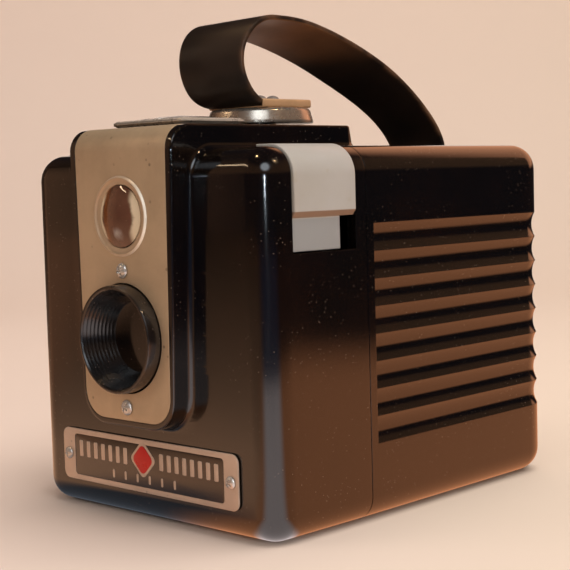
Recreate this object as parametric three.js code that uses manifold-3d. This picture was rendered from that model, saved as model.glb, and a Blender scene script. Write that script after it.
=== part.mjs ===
// Box camera for 620 roll film: moulded front body, pull-off rear cover, and the works inside.
// Frame: millimetres, +Z up, lens looking along -Y, +X to the viewer's right from the front.
// The origin is the centre of the flat base.
import * as THREE from 'three';
import { mergeVertices } from 'three/addons/utils/BufferGeometryUtils.js';
import Module from 'manifold-3d';

const wasm = await Module();
wasm.setup();

// ---------- driving dimensions ----------
const WIDTH = 84;
const DEPTH = 108.8;
const HEIGHT = 87.2;
const FRONT = -DEPTH / 2;
const BACK = DEPTH / 2;
const SIDE = WIDTH / 2;
const SEAM = -22.4;              // where the front body meets the rear cover
const WALL = 2.5;
const GAP = 0.3;                 // clearance left between fitted pieces
const FRONT_CORNER = 6.6;        // vertical edge radii in plan
const BACK_CORNER = 10.5;
const RIM = 6.3;                 // radius of the top and bottom rims

const HOUSING_PROUD = 4.9;       // raised finder and lens housing on the front and top
const HOUSING_FRONT = FRONT - HOUSING_PROUD;
const HOUSING_TOP = 92.8;
const HOUSING_BOTTOM = 23.5;
const HOUSING_END = 0.7;         // rear end of the raised top, at its upper edge
const HOUSING_SLOPE = 1.6;       // how far its rear face leans out at the base
const HOUSING_WALL = 2.2;
const HOUSING_NOSE = 5.5;        // radius from the front face over to the top

const LENS_Z = 44.2;
const FINDER_Z = 72.4;
const PANEL_FRONT = HOUSING_FRONT - 0.7;
const SHEET = 0.5;

const BARREL_FRONT = PANEL_FRONT - 3.6;
const BARREL_BACK = -53.2;
const BOARD_FRONT = -46.8;      // shutter board
const BOARD_BACK = -45.4;
const PIVOT_X = -17;             // shutter blade's pivot
const PIVOT_Z = 52;
const SPRING_X = 21;             // shutter spring's post
const SPRING_Z = 52;

const FLUTES = 8;
const FLUTE_BOTTOM = 18.05;
const FLUTE_PITCH = 6.4;
const FLUTE_RADIUS = 6.8;
const FLUTE_DEPTH = 0.8;
const FLUTE_START = SEAM + 2.5;

const LEVER_FRONT = -46.4;
const LEVER_BACK = -26.4;
const LEVER_STEP = 72.65;        // lower edge of the lever's thick part
const LEVER_TIP = 64;            // lower end of its thin tongue, and of both openings
const TONGUE_BACK = -30.9;
const RELEASE_FRONT = -46.4;
const RELEASE_BACK = -30;
const RELEASE_TRAVEL = 6;
const LINK_Y = -44.3;

const LATCH_Y = -13.4;
const LATCH_RADIUS = 13.4;
const LATCH_BOTTOM = 94.3;
const LATCH_TOP = 97.5;
const HOOK_TOP = 89.6;
const HOOK_LOW = 88.2;
const CLIP_HALF = 9.8;
const CLIP_FRONT = -24;
const CLIP_BACK = -4.9;
const CLIP_LOW = LATCH_TOP + GAP;
const CLIP_TOP = 100.4;
const CLIP_SHEET = 0.8;

const STRAP_WIDTH = 18.5;
const STRAP_THICK = 1.3;
const STRAP_SLOT_Y = 50.4;

const SPOOL_LENGTH = 65;
const SPOOL_RADIUS = 11.3;
const TAKEUP_Y = -34.4;
const TAKEUP_Z = 20;
const GATE_Y = 37.6;             // film plane
const GATE_HALF = 28.5;          // 57 mm square negative
const CARRIER_FRONT = -43;
const CARRIER_SIDE = 33.6;       // inner face of the carrier's side plates
const ROLLER_RADIUS = 2.5;
const ROLLER_Y = 40.6;
const ROLLER_OFFSET = 32;
const KNOB_INNER = -SIDE - 0.8;
const KNOB_OUTER = KNOB_INNER - 6.6;

// ---------- materials ----------
const finish = (color, roughness, metalness) =>
  new THREE.MeshStandardMaterial({ color, roughness, metalness });
const mouldedBlack = finish(0x120c09, 0.22, 0);
const satinMetal = finish(0xa89a86, 0.42, 0.9);
const nickel = finish(0xc9c4bb, 0.18, 1);
const ivory = finish(0xb9b4a2, 0.45, 0);
const clearGlass = finish(0xe8eef0, 0.05, 0);
const mirrorGlass = finish(0xd8dcde, 0.05, 1);
const blackMetal = finish(0x1a1816, 0.4, 0.5);
const redPlastic = finish(0x8c1410, 0.2, 0);
const steel = finish(0x8f8f8c, 0.35, 1);
const leather = finish(0x15100d, 0.4, 0);
const spoolMetal = finish(0x2b2a28, 0.35, 0.6);

// ---------- solids ----------
const AXES = {
  x: [[0, 1, 0], [0, 0, 1], [1, 0, 0]],      // shape drawn as (y, z), raised along +X
  y: [[-1, 0, 0], [0, 0, 1], [0, 1, 0]],     // shape drawn as (-x, z), raised along +Y
  z: [[1, 0, 0], [0, 1, 0], [0, 0, 1]],      // shape drawn as (x, y), raised along +Z
};

function turned(geometry, axis) {
  const basis = AXES[axis].map(v => new THREE.Vector3(...v));
  return geometry.applyMatrix4(new THREE.Matrix4().makeBasis(...basis));
}

function solid(geometry) {
  const bare = geometry.clone();
  bare.deleteAttribute('normal');
  bare.deleteAttribute('uv');
  const merged = mergeVertices(bare, 1e-4);
  const vertProperties = new Float32Array(merged.attributes.position.array);
  const triVerts = new Uint32Array(merged.index.array);
  return new wasm.Manifold(new wasm.Mesh({ numProp: 3, vertProperties, triVerts }));
}

function geometryOf(manifold) {
  const mesh = manifold.getMesh();
  const geometry = new THREE.BufferGeometry();
  geometry.setAttribute('position', new THREE.BufferAttribute(mesh.vertProperties, 3));
  geometry.setIndex(new THREE.BufferAttribute(mesh.triVerts, 1));
  return geometry;
}

const joined = pieces => pieces.reduce((all, piece) => all.add(piece));
const cutBy = (piece, cutters) => cutters.reduce((left, cutter) => left.subtract(cutter), piece);

// A box from its lowest and highest corners.
function block(low, high) {
  const size = high.map((value, i) => value - low[i]);
  const middle = high.map((value, i) => (value + low[i]) / 2);
  return solid(new THREE.BoxGeometry(...size).translate(...middle));
}

// A flat shape raised along an axis from one level to another.
function raised(shape, axis, from, to, options = {}) {
  const settings = { depth: to - from, bevelEnabled: false, curveSegments: 4, ...options };
  const geometry = new THREE.ExtrudeGeometry(shape, settings).translate(0, 0, from);
  return solid(turned(geometry, axis));
}

// A closed profile of [radius, level] points spun round an axis through a point.
function spun(profile, axis, centre = [0, 0, 0], segments = 32) {
  const points = profile.map(([radius, level]) => new THREE.Vector2(radius, level));
  if (THREE.ShapeUtils.area(points) < 0) points.reverse();
  if (points[0].x > 0) points.push(points[0].clone());
  const geometry = new THREE.LatheGeometry(points, segments).rotateX(Math.PI / 2);
  return solid(turned(geometry, axis).translate(...centre));
}

function rod(axis, radius, from, to, centre, segments = 16) {
  const profile = [[0, from], [radius, from], [radius, to], [0, to]];
  return spun(profile, axis, centre, segments);
}

function polygon(points) {
  return new THREE.Shape(points.map(([a, b]) => new THREE.Vector2(a, b)));
}

// ---------- outlines ----------
// Plan of the body, shrunk inwards by an inset, with larger radii at the rear corners.
function bodyPlan(inset) {
  const side = SIDE - inset;
  const front = FRONT + inset;
  const back = BACK - inset;
  const rf = FRONT_CORNER - inset;
  const rb = BACK_CORNER - inset;
  const shape = new THREE.Shape();
  shape.moveTo(-side + rf, front);
  shape.lineTo(side - rf, front);
  shape.absarc(side - rf, front + rf, rf, -Math.PI / 2, 0);
  shape.lineTo(side, back - rb);
  shape.absarc(side - rb, back - rb, rb, 0, Math.PI / 2);
  shape.lineTo(-side + rb, back);
  shape.absarc(-side + rb, back - rb, rb, Math.PI / 2, Math.PI);
  shape.lineTo(-side, front + rf);
  shape.absarc(-side + rf, front + rf, rf, Math.PI, Math.PI * 1.5);
  return shape;
}

// The body's rounded block, shrunk inwards by an inset.
function bodyBlock(inset) {
  const rim = RIM - inset;
  const options = {
    depth: HEIGHT - 2 * inset - 2 * rim,
    bevelEnabled: true,
    bevelThickness: rim,
    bevelSize: rim,
    bevelOffset: -rim,
    bevelSegments: 5,
    curveSegments: 4,
  };
  return raised(bodyPlan(inset), 'z', inset + rim, HEIGHT - inset - rim, options);
}

// Front view of the housing or its panel: sides that spread upwards, round lower corners.
function frontOutline(halfAtLens, spread, bottom, corner, top = 100) {
  const half = z => halfAtLens + spread * (z - LENS_Z);
  const low = half(bottom + corner);
  const shape = new THREE.Shape();
  shape.moveTo(-half(top), top);
  shape.lineTo(-low, bottom + corner);
  shape.absarc(-low + corner, bottom + corner, corner, Math.PI, Math.PI * 1.5);
  shape.lineTo(low - corner, bottom);
  shape.absarc(low - corner, bottom + corner, corner, Math.PI * 1.5, Math.PI * 2);
  shape.lineTo(half(top), top);
  return shape;
}

// Side view of the housing: up the front, over the nose and back along the top.
function housingProfile(inset) {
  const face = HOUSING_FRONT + inset;
  const top = HOUSING_TOP - inset;
  const nose = HOUSING_NOSE - inset;
  const shape = new THREE.Shape();
  shape.moveTo(face, HOUSING_BOTTOM + inset - 4);
  shape.lineTo(FRONT + 4, HOUSING_BOTTOM + inset - 4);
  shape.lineTo(FRONT + 4, HEIGHT - 4);
  shape.lineTo(HOUSING_END + HOUSING_SLOPE - inset, HEIGHT - 4);
  shape.lineTo(HOUSING_END + HOUSING_SLOPE - inset, HEIGHT);
  shape.lineTo(HOUSING_END - inset, top);
  shape.lineTo(face + nose, top);
  shape.absarc(face + nose, top - nose, nose, Math.PI / 2, Math.PI);
  return shape;
}

function housingBlock(inset) {
  const outline = frontOutline(16.2 - inset, 0.029, HOUSING_BOTTOM + inset, 8 - inset);
  const seen = raised(outline, 'y', HOUSING_FRONT - 1, HOUSING_END + 4);
  return seen.intersect(raised(housingProfile(inset), 'x', -24, 24));
}

// ---------- flutes ----------
// A level path round the rear of the cover at a distance outside its wall.
class FlutePath extends THREE.Curve {
  constructor(offset, z, cornerSteps) {
    super();
    this.side = SIDE + offset;
    this.back = BACK + offset;
    this.radius = BACK_CORNER + offset;
    this.z = z;
    this.cornerSteps = cornerSteps;
    this.steps = 2 * cornerSteps + 3;
  }
  // Even parameter steps are kept, so straight runs take one step each.
  getUtoTmapping(u) {
    return u;
  }
  getPoint(t, target = new THREE.Vector3()) {
    const step = t * this.steps;
    const n = this.cornerSteps;
    const cx = this.side - this.radius;
    const cy = this.back - this.radius;
    if (step <= 1) {
      return target.set(this.side, THREE.MathUtils.lerp(FLUTE_START, cy, step), this.z);
    }
    if (step >= this.steps - 1) {
      const run = step - this.steps + 1;
      return target.set(-this.side, THREE.MathUtils.lerp(cy, FLUTE_START, run), this.z);
    }
    if (step <= 1 + n) {
      const angle = (Math.PI / 2) * (step - 1) / n;
      return target.set(cx + this.radius * Math.cos(angle), cy + this.radius * Math.sin(angle), this.z);
    }
    if (step <= 2 + n) {
      return target.set(THREE.MathUtils.lerp(cx, -cx, step - 1 - n), this.back, this.z);
    }
    const angle = (Math.PI / 2) * (1 + (step - 2 - n) / n);
    return target.set(-cx + this.radius * Math.cos(angle), cy + this.radius * Math.sin(angle), this.z);
  }
}

function fluteCutters() {
  const section = new THREE.Shape();
  section.absarc(0, 0, FLUTE_RADIUS, 0, Math.PI * 2);
  const cutters = [];
  for (let i = 0; i < FLUTES; i += 1) {
    const z = FLUTE_BOTTOM + (i + 0.5) * FLUTE_PITCH;
    const path = new FlutePath(FLUTE_RADIUS - FLUTE_DEPTH, z, 5);
    const options = { steps: path.steps, extrudePath: path, curveSegments: 12, bevelEnabled: false };
    cutters.push(solid(new THREE.ExtrudeGeometry(section, options)));
  }
  return cutters;
}

// ---------- shells ----------
const FAR = 200;
const outer = bodyBlock(0).add(housingBlock(0));
const hollow = bodyBlock(WALL).add(housingBlock(HOUSING_WALL));
const shell = outer.subtract(hollow);

// A side opening for a lever that laps over the top edge, on the +X side (1) or -X side (-1).
function leverOpening(sign, front, back, bottom) {
  const inner = sign * (SIDE - 11.5);
  const edge = sign * (SIDE + 5);
  return block([Math.min(inner, edge), front, bottom], [Math.max(inner, edge), back, HEIGHT + 5]);
}

function frontShell() {
  const half = shell.intersect(block([-FAR, -FAR, -1], [FAR, SEAM - GAP / 2, FAR]));
  const pegs = [];
  for (const [x, z] of [[-26, 36.5], [26, 36.5], [-26, 57.5], [26, 57.5]]) {
    pegs.push(rod('y', 2.2, FRONT + WALL - 0.5, BOARD_FRONT - GAP, [x, 0, z], 12));
  }
  const stud = rod('z', 1.6, 86.4, HOUSING_TOP - 1, [0, -28.2, 0], 12);
  const body = joined([half, ...pegs, stud]);
  return cutBy(body, [
    rod('y', 12.9, HOUSING_FRONT - 2, HOUSING_FRONT + 4, [0, 0, LENS_Z], 32),
    rod('y', 7.4, HOUSING_FRONT - 2, HOUSING_FRONT + 4, [0, 0, FINDER_Z], 24),
    block([-10.6, FRONT + 3.2, HOUSING_TOP - 4], [10.6, -33, HOUSING_TOP + 2]),
    leverOpening(1, LEVER_FRONT - GAP, LEVER_BACK + GAP, LEVER_TIP - GAP),
    leverOpening(-1, RELEASE_FRONT - GAP, RELEASE_BACK + GAP, LEVER_TIP - GAP),
    rod('x', 4.4, -SIDE - 1, -SIDE + 4, [0, TAKEUP_Y, TAKEUP_Z], 20),
    ...screwPlaces.map(([x, y, z]) => rod('y', 1.1, y - 1, y + 4, [x, 0, z], 12)),
  ]);
}

function rearShell() {
  const half = shell.intersect(block([-FAR, SEAM + GAP / 2, -1], [FAR, FAR, FAR]));
  return cutBy(half, [
    ...fluteCutters(),
    rod('z', 3.3, HEIGHT, HOUSING_TOP + 2, [0, LATCH_Y, 0], 20),
    rod('y', 6.5, BACK - WALL - 2, BACK + 2, [0, 0, LENS_Z], 24),
    rod('y', 7.8, BACK - WALL - 2, BACK - WALL + 0.9, [0, 0, LENS_Z], 24),
    block([-STRAP_WIDTH / 2 - 0.5, STRAP_SLOT_Y - 1.1, 80], [STRAP_WIDTH / 2 + 0.5, STRAP_SLOT_Y + 1.1, 90]),
  ]);
}

// ---------- front panel, plate and screws ----------
const screwPlaces = [
  [0, HOUSING_FRONT, 59.9],
  [0, HOUSING_FRONT, 28.1],
  [-28.9, FRONT, 13.4],
  [28.9, FRONT, 13.4],
];

function facePanel() {
  const outline = frontOutline(15.3, 0.017, 25, 6.5);
  const face = PANEL_FRONT;
  const top = HOUSING_TOP + 0.7;
  const back = FRONT + 1.8;
  const nose = HOUSING_NOSE + 0.7;
  const strip = new THREE.Shape();
  strip.moveTo(face, 24);
  strip.lineTo(face + SHEET, 24);
  strip.lineTo(face + SHEET, top - nose);
  strip.absarc(face + nose, top - nose, nose - SHEET, Math.PI, Math.PI / 2, true);
  strip.lineTo(back, top - SHEET);
  strip.lineTo(back, top);
  strip.lineTo(face + nose, top);
  strip.absarc(face + nose, top - nose, nose, Math.PI / 2, Math.PI);
  const sheet = raised(outline, 'y', face - 1, FRONT + 4).intersect(raised(strip, 'x', -24, 24));
  return cutBy(sheet, [
    rod('y', 12.9, face - 2, face + 4, [0, 0, LENS_Z], 32),
    rod('y', 7.7, face - 2, face + 4, [0, 0, FINDER_Z], 24),
    ...screwPlaces.slice(0, 2).map(([x, y, z]) => rod('y', 1.1, y - 2, y + 2, [x, 0, z], 12)),
  ]);
}

function namePlate() {
  const half = 31.2;
  const low = 7;
  const high = 19.8;
  const corner = 2;
  const shape = new THREE.Shape();
  shape.moveTo(-half + corner, low);
  shape.absarc(half - corner, low + corner, corner, -Math.PI / 2, 0);
  shape.absarc(half - corner, high - corner, corner, 0, Math.PI / 2);
  shape.absarc(-half + corner, high - corner, corner, Math.PI / 2, Math.PI);
  shape.absarc(-half + corner, low + corner, corner, Math.PI, Math.PI * 1.5);
  const plate = raised(shape, 'y', FRONT - GAP - SHEET, FRONT - GAP);
  const holes = screwPlaces.slice(2).map(([x, , z]) => rod('y', 1, FRONT - 3, FRONT + 1, [x, 0, z], 12));
  return cutBy(plate, holes);
}

// A domed cross-head screw whose head rests on a sheet facing -Y.
function crossScrew(headRadius, seat, shank, length) {
  const dome = headRadius * 0.45;
  const profile = [
    [0, seat - dome],
    [headRadius * 0.6, seat - dome * 0.8],
    [headRadius, seat - dome * 0.15],
    [headRadius, seat],
    [shank, seat],
    [shank, seat + length],
    [0, seat + length],
  ];
  const slot = headRadius * 0.55;
  const cut = headRadius * 0.14;
  const across = block([-slot, seat - dome - 1, -cut], [slot, seat - dome * 0.45, cut]);
  const upright = block([-cut, seat - dome - 1, -slot], [cut, seat - dome * 0.45, slot]);
  return cutBy(spun(profile, 'y', [0, 0, 0], 16), [across, upright]);
}

// ---------- lens, finder and shutter ----------

function lensBarrel() {
  return spun([
    [12.56, BARREL_FRONT + 0.4],
    [12.2, BARREL_FRONT],
    [11.2, BARREL_FRONT],
    [10.9, BARREL_FRONT + 0.6],
    [10.6, BARREL_FRONT + 3.2],
    [9.6, BARREL_FRONT + 3.4],
    [9.4, BARREL_FRONT + 6],
    [8.4, BARREL_FRONT + 6.2],
    [8.2, BARREL_BACK - 3.6],
    [5.6, BARREL_BACK - 3.4],
    [5.6, BARREL_BACK - 2.6],
    [7.1, BARREL_BACK - 2.6],
    [7.1, BARREL_BACK],
    [13.2, BARREL_BACK],
    [13.2, HOUSING_FRONT + HOUSING_WALL + GAP],
    [12.56, HOUSING_FRONT + HOUSING_WALL + GAP],
  ], 'y', [0, 0, LENS_Z], 32);
}

function takingLens() {
  const seat = BARREL_BACK - 2.3;
  return spun([[0, seat + 1.5], [6.8, seat + 1.5], [6.8, seat + 0.2], [4, seat - 0.5], [0, seat - 0.8]],
    'y', [0, 0, LENS_Z], 24);
}

function retainerSpring() {
  const back = BARREL_BACK - 0.1;
  return spun([[5.2, back], [6.8, back], [6.8, back - 0.5], [5.2, back - 0.5]], 'y', [0, 0, LENS_Z], 24);
}

function finderFrontLens() {
  const back = HOUSING_FRONT - 1.2;
  return spun([
    [0, back + 2.2],
    [7, back + 2.2],
    [7, back],
    [5.2, back - 1],
    [2.8, back - 1.7],
    [0, back - 2],
  ], 'y', [0, 0, FINDER_Z], 24);
}

// Pressed metal bead that holds the finder's front lens against the panel.
function finderBead() {
  const back = PANEL_FRONT - GAP;
  return spun([
    [7.8, back],
    [7.8, back - 0.9],
    [8.6, back - 1.2],
    [9.3, back - 0.8],
    [9.55, back],
  ], 'y', [0, 0, FINDER_Z], 32);
}

function finderMirror() {
  const half = 12.6;
  const slope = 12.8;
  const glass = new THREE.BoxGeometry(2 * half, 2 * slope, 1);
  glass.rotateX(Math.PI / 4).translate(0, -43.4, 73.2);
  return solid(glass);
}

function finderTopFrame() {
  const low = HOUSING_TOP + GAP;
  const shape = new THREE.Shape();
  const window = new THREE.Path();
  rounded(shape, -12.8, -51.6, 12.8, -30.6, 2);
  rounded(window, -10, -48.8, 10, -33.4, 1.5);
  shape.holes.push(window);
  return raised(shape, 'z', low, low + 1.5);
}

function finderTopLens() {
  const shape = new THREE.Shape();
  rounded(shape, -9.7, -48.5, 9.7, -33.7, 1.2);
  const options = {
    bevelEnabled: true,
    bevelThickness: 1.2,
    bevelSize: 0.9,
    bevelOffset: -0.9,
    bevelSegments: 2,
  };
  const low = HOUSING_TOP - 1.6;
  const crowned = raised(shape, 'z', low, low + 2.8, options);
  return crowned.intersect(block([-11, -50, low], [11, -32, low + 5]));
}

function rounded(path, x0, y0, x1, y1, r) {
  path.moveTo(x0 + r, y0);
  path.lineTo(x1 - r, y0);
  path.absarc(x1 - r, y0 + r, r, -Math.PI / 2, 0);
  path.lineTo(x1, y1 - r);
  path.absarc(x1 - r, y1 - r, r, 0, Math.PI / 2);
  path.lineTo(x0 + r, y1);
  path.absarc(x0 + r, y1 - r, r, Math.PI / 2, Math.PI);
  path.lineTo(x0, y0 + r);
  path.absarc(x0 + r, y0 + r, r, Math.PI, Math.PI * 1.5);
}

function shutterBoard() {
  const plate = block([-30, BOARD_FRONT, 33.2], [30, BOARD_BACK, 61]);
  return cutBy(plate, [
    rod('y', 4.2, BOARD_FRONT - 1, BOARD_BACK + 1, [0, 0, LENS_Z], 24),
    rod('y', 1.3, BOARD_FRONT - 1, BOARD_BACK + 1, [PIVOT_X, 0, PIVOT_Z], 12),
    rod('y', 1.3, BOARD_FRONT - 1, BOARD_BACK + 1, [SPRING_X, 0, SPRING_Z], 12),
  ]);
}

// A thin disc sector that swings across the lens opening on the pivot.
function shutterBlade() {
  const front = BOARD_FRONT - 1.2;
  const back = BOARD_FRONT - 0.6;
  const hub = rod('y', 4, front, back, [PIVOT_X, 0, PIVOT_Z], 20);
  const arm = raised(polygon([
    [-PIVOT_X - 3, PIVOT_Z - 2.5],
    [-PIVOT_X, PIVOT_Z + 3],
    [0, LENS_Z + 5],
    [0, LENS_Z - 5],
  ]), 'y', front, back);
  const cover = rod('y', 6.4, front, back, [0, 0, LENS_Z], 24);
  return joined([hub, arm, cover]).subtract(rod('y', 1.5, front - 1, back + 1, [PIVOT_X, 0, PIVOT_Z], 12));
}

function shutterPivot() {
  return spun([
    [0, BOARD_FRONT - 2],
    [2.2, BOARD_FRONT - 2],
    [2.2, BOARD_FRONT - 1.5],
    [1, BOARD_FRONT - 1.5],
    [1, BOARD_BACK + 0.8],
    [0, BOARD_BACK + 0.8],
  ], 'y', [PIVOT_X, 0, PIVOT_Z], 12);
}

// Return spring of the shutter: a small coil with two straight legs, on the board's own post.
class CoilPath extends THREE.Curve {
  getPoint(t, target = new THREE.Vector3()) {
    const turns = 2.5;
    const angle = t * turns * Math.PI * 2;
    return target.set(
      SPRING_X + 3 * Math.cos(angle),
      BOARD_FRONT - 3.4 + 2.6 * t,
      SPRING_Z + 3 * Math.sin(angle),
    );
  }
}

function shutterSpring() {
  const section = new THREE.Shape();
  section.absarc(0, 0, 0.35, 0, Math.PI * 2);
  const options = { steps: 36, extrudePath: new CoilPath(), curveSegments: 3, bevelEnabled: false };
  return solid(new THREE.ExtrudeGeometry(section, options));
}

function springPost() {
  return rod('y', 1, BOARD_FRONT - 3.8, BOARD_BACK + 0.8, [SPRING_X, 0, SPRING_Z], 12);
}

// ---------- side controls ----------
// A control that laps over the body's top edge: outer skin, thick part, step and thin tongue.
function sideControl(sign, { front, back, tongueBack, tip, proud }) {
  const thick = 1.7;
  const face = SIDE + proud;
  const top = HEIGHT + proud;
  const bend = RIM + proud + 0.4;
  const lap = SIDE - 10.8;
  const skin = new THREE.Shape();
  skin.moveTo(-face, LEVER_STEP);
  skin.lineTo(-face, top - bend);
  skin.absarc(-face + bend, top - bend, bend, Math.PI, Math.PI / 2, true);
  skin.lineTo(-lap, top);
  skin.lineTo(-lap, top - thick);
  skin.lineTo(-face + bend, top - thick);
  skin.absarc(-face + bend, top - bend, bend - thick, Math.PI / 2, Math.PI);
  skin.lineTo(-face + thick, LEVER_STEP);
  const cap = raised(skin, 'y', front, back);
  const step = block([face - thick, front, LEVER_STEP - 1.25], [face - 0.45, back, LEVER_STEP + 0.5]);
  const tongue = block([face - thick, front, tip], [face - 0.95, tongueBack, LEVER_STEP]);
  const control = joined([cap, step, tongue]);
  return sign > 0 ? control : control.mirror([1, 0, 0]);
}

// Flat bar inside the shell that carries a control's motion to the shutter board.
function controlLink(sign, y, low, high) {
  const near = 31.6;
  const outerX = SIDE - WALL + 0.2;
  const bar = block([36.4, y - 0.9, low], [37.4, y + 0.9, high]);
  const tab = block([37, y - 0.9, high - 3], [outerX, y + 0.9, high - 1.4]);
  const foot = block([near, y - 0.9, low], [37.4, y + 0.9, low + 1]);
  const link = joined([bar, tab, foot]);
  return sign > 0 ? link : link.mirror([1, 0, 0]);
}

// ---------- latch, clip and strap ----------
function latchDisc() {
  return spun([
    [0, LATCH_TOP],
    [11.6, LATCH_TOP],
    [12.4, LATCH_TOP - 0.3],
    [LATCH_RADIUS, LATCH_BOTTOM + 0.8],
    [LATCH_RADIUS - 0.2, LATCH_BOTTOM],
    [4, LATCH_BOTTOM],
    [4, HOUSING_TOP + GAP],
    [2.8, HOUSING_TOP + GAP],
    [2.8, HOOK_TOP + GAP],
    [0, HOOK_TOP + GAP],
  ], 'z', [0, LATCH_Y, 0], 32);
}

function latchHook() {
  const plate = new THREE.Shape();
  plate.moveTo(-4.5, LATCH_Y);
  plate.absarc(0, LATCH_Y, 4.5, Math.PI, 0, true);
  plate.lineTo(3, LATCH_Y - 9.6);
  plate.lineTo(-6, LATCH_Y - 9.6);
  plate.lineTo(-6, LATCH_Y - 7.4);
  plate.lineTo(-1.5, LATCH_Y - 6.2);
  return raised(plate, 'z', HOOK_LOW, HOOK_TOP);
}

// Folded channel that grips the strap: top plate, flanges down both sides, rear wall and lower plate.
function strapClip() {
  const low = CLIP_LOW + GAP;
  const lower = block([-CLIP_HALF, CLIP_FRONT + 2, CLIP_LOW], [CLIP_HALF, CLIP_BACK, CLIP_LOW + 0.6]);
  const rear = block([-CLIP_HALF, CLIP_BACK - CLIP_SHEET, low], [CLIP_HALF, CLIP_BACK, CLIP_TOP]);
  const upper = block([-CLIP_HALF, CLIP_FRONT, CLIP_TOP - CLIP_SHEET], [CLIP_HALF, CLIP_BACK, CLIP_TOP]);
  const flanges = [-1, 1].map(sign => {
    const x = sign * (CLIP_HALF - 0.25);
    return block([x - 0.25, CLIP_FRONT, low], [x + 0.25, CLIP_BACK, CLIP_TOP]);
  });
  return joined([lower, rear, upper, ...flanges]);
}

function clipRivet() {
  const head = CLIP_TOP + GAP;
  return spun([[0, head], [1.8, head], [1.5, head + 0.5], [0.8, head + 0.8], [0, head + 0.9]], 'z',
    [0, 0, 0], 16);
}

// Centre line of the strap in side view, from the clip's mouth over the top to the rear slot.
const STRAP_LINE = [
  [-25.6, 101.6],
  [-28.6, 104.4],
  [-30, 109],
  [-28, 115],
  [-20.5, 119.2],
  [-10, 118.9],
  [8, 113.6],
  [28, 105.8],
  [41, 98],
  [48.6, 91],
  [STRAP_SLOT_Y, 86.5],
  [STRAP_SLOT_Y, 81.4],
];

function strap() {
  const knots = STRAP_LINE.map(([y, z]) => new THREE.Vector3(0, y, z));
  const curve = new THREE.CatmullRomCurve3(knots, false, 'centripetal');
  const points = curve.getSpacedPoints(44);
  const above = [];
  const below = [];
  points.forEach((point, i) => {
    const tangent = curve.getTangentAt(i / 44);
    const reach = STRAP_THICK / 2;
    above.push([point.y - tangent.z * reach, point.z + tangent.y * reach]);
    below.push([point.y + tangent.z * reach, point.z - tangent.y * reach]);
  });
  return raised(polygon([...below, ...above.reverse()]), 'x', -STRAP_WIDTH / 2, STRAP_WIDTH / 2);
}

function strapAnchor() {
  return block([-10.5, STRAP_SLOT_Y - 2.6, 80.6], [10.5, STRAP_SLOT_Y - 1.2, 84.2]);
}

function redWindow() {
  const front = BACK - WALL - 0.9;
  return spun([[0, front], [7.4, front], [7.4, front + 1.4], [0, front + 1.4]], 'y', [0, 0, LENS_Z], 24);
}

// ---------- film carrier, rollers, spool and winding knob ----------

// A square cone along Y, from a half-width at the front to one at the film gate.
function squareCone(frontHalf, gateHalf) {
  const length = GATE_Y - CARRIER_FRONT;
  const cone = new THREE.CylinderGeometry(gateHalf * Math.SQRT2, frontHalf * Math.SQRT2, length, 4, 1);
  cone.rotateY(Math.PI / 4).translate(0, length / 2 + CARRIER_FRONT, LENS_Z);
  return solid(cone.toNonIndexed());
}

function filmCarrier() {
  const outerCone = squareCone(8.2, GATE_HALF + 1.2);
  const innerCone = squareCone(7, GATE_HALF);
  const length = GATE_Y - CARRIER_FRONT;
  const wide = CARRIER_SIDE + 1.4;
  const ends = [
    block([-wide, GATE_Y - 1.2, LENS_Z - 31], [wide, GATE_Y, LENS_Z + 31]),
    block([-wide, CARRIER_FRONT, LENS_Z - 8.2], [wide, CARRIER_FRONT + 1.2, LENS_Z + 8.2]),
  ];
  const plates = [-1, 1].map(sign => {
    const x = sign * (CARRIER_SIDE + 0.7);
    const outline = new THREE.Shape();
    outline.moveTo(CARRIER_FRONT, 8.4);
    outline.lineTo(12, 8.4);
    outline.lineTo(ROLLER_Y + 3, 10);
    outline.lineTo(ROLLER_Y + 3, 78);
    outline.lineTo(-27, 78);
    outline.lineTo(-31, 60);
    outline.lineTo(CARRIER_FRONT, 56);
    return raised(outline, 'x', x - 0.7, x + 0.7);
  });
  const body = joined([outerCone, ...ends, ...plates]);
  const rollerHoles = [-1, 1].map(sign =>
    rod('x', 1.35, -FAR, FAR, [0, ROLLER_Y, LENS_Z + sign * ROLLER_OFFSET], 12));
  const knobHole = rod('x', 4, -FAR, 0, [0, TAKEUP_Y, TAKEUP_Z], 16);
  const spoolHole = rod('x', 2.1, 0, FAR, [0, TAKEUP_Y, TAKEUP_Z], 16);
  const half = GATE_HALF;
  const gateCut = block([-half, GATE_Y - 3, LENS_Z - half], [half, GATE_Y + 1, LENS_Z + half]);
  const frontCut = block([-7, CARRIER_FRONT - 1, LENS_Z - 7], [7, CARRIER_FRONT + length * 0.2, LENS_Z + 7]);
  return cutBy(body, [innerCone, gateCut, frontCut, ...rollerHoles, knobHole, spoolHole]);
}

function filmRoller(sign) {
  const end = CARRIER_SIDE + 2.2;
  const face = CARRIER_SIDE - 0.6;
  return spun([
    [0, -end],
    [1, -end],
    [1, -face],
    [ROLLER_RADIUS, -face],
    [ROLLER_RADIUS, face],
    [1, face],
    [1, end],
    [0, end],
  ], 'x', [0, ROLLER_Y, LENS_Z + sign * ROLLER_OFFSET], 16);
}

function takeupSpool() {
  const end = SPOOL_LENGTH / 2;
  const disc = end - 0.8;
  const spool = spun([
    [0, -end],
    [SPOOL_RADIUS, -end],
    [SPOOL_RADIUS, -disc],
    [3.2, -disc],
    [3.2, disc],
    [SPOOL_RADIUS, disc],
    [SPOOL_RADIUS, end],
    [1.7, end],
    [1.7, end + 2.4],
    [0, end + 2.4],
  ], 'x', [0, TAKEUP_Y, TAKEUP_Z], 28);
  const [y, z] = [TAKEUP_Y, TAKEUP_Z];
  const keyway = block([-end - 1, y - 0.8, z - 2.4], [-end + 6, y + 0.8, z + 2.4]);
  return spool.subtract(keyway);
}

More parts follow.
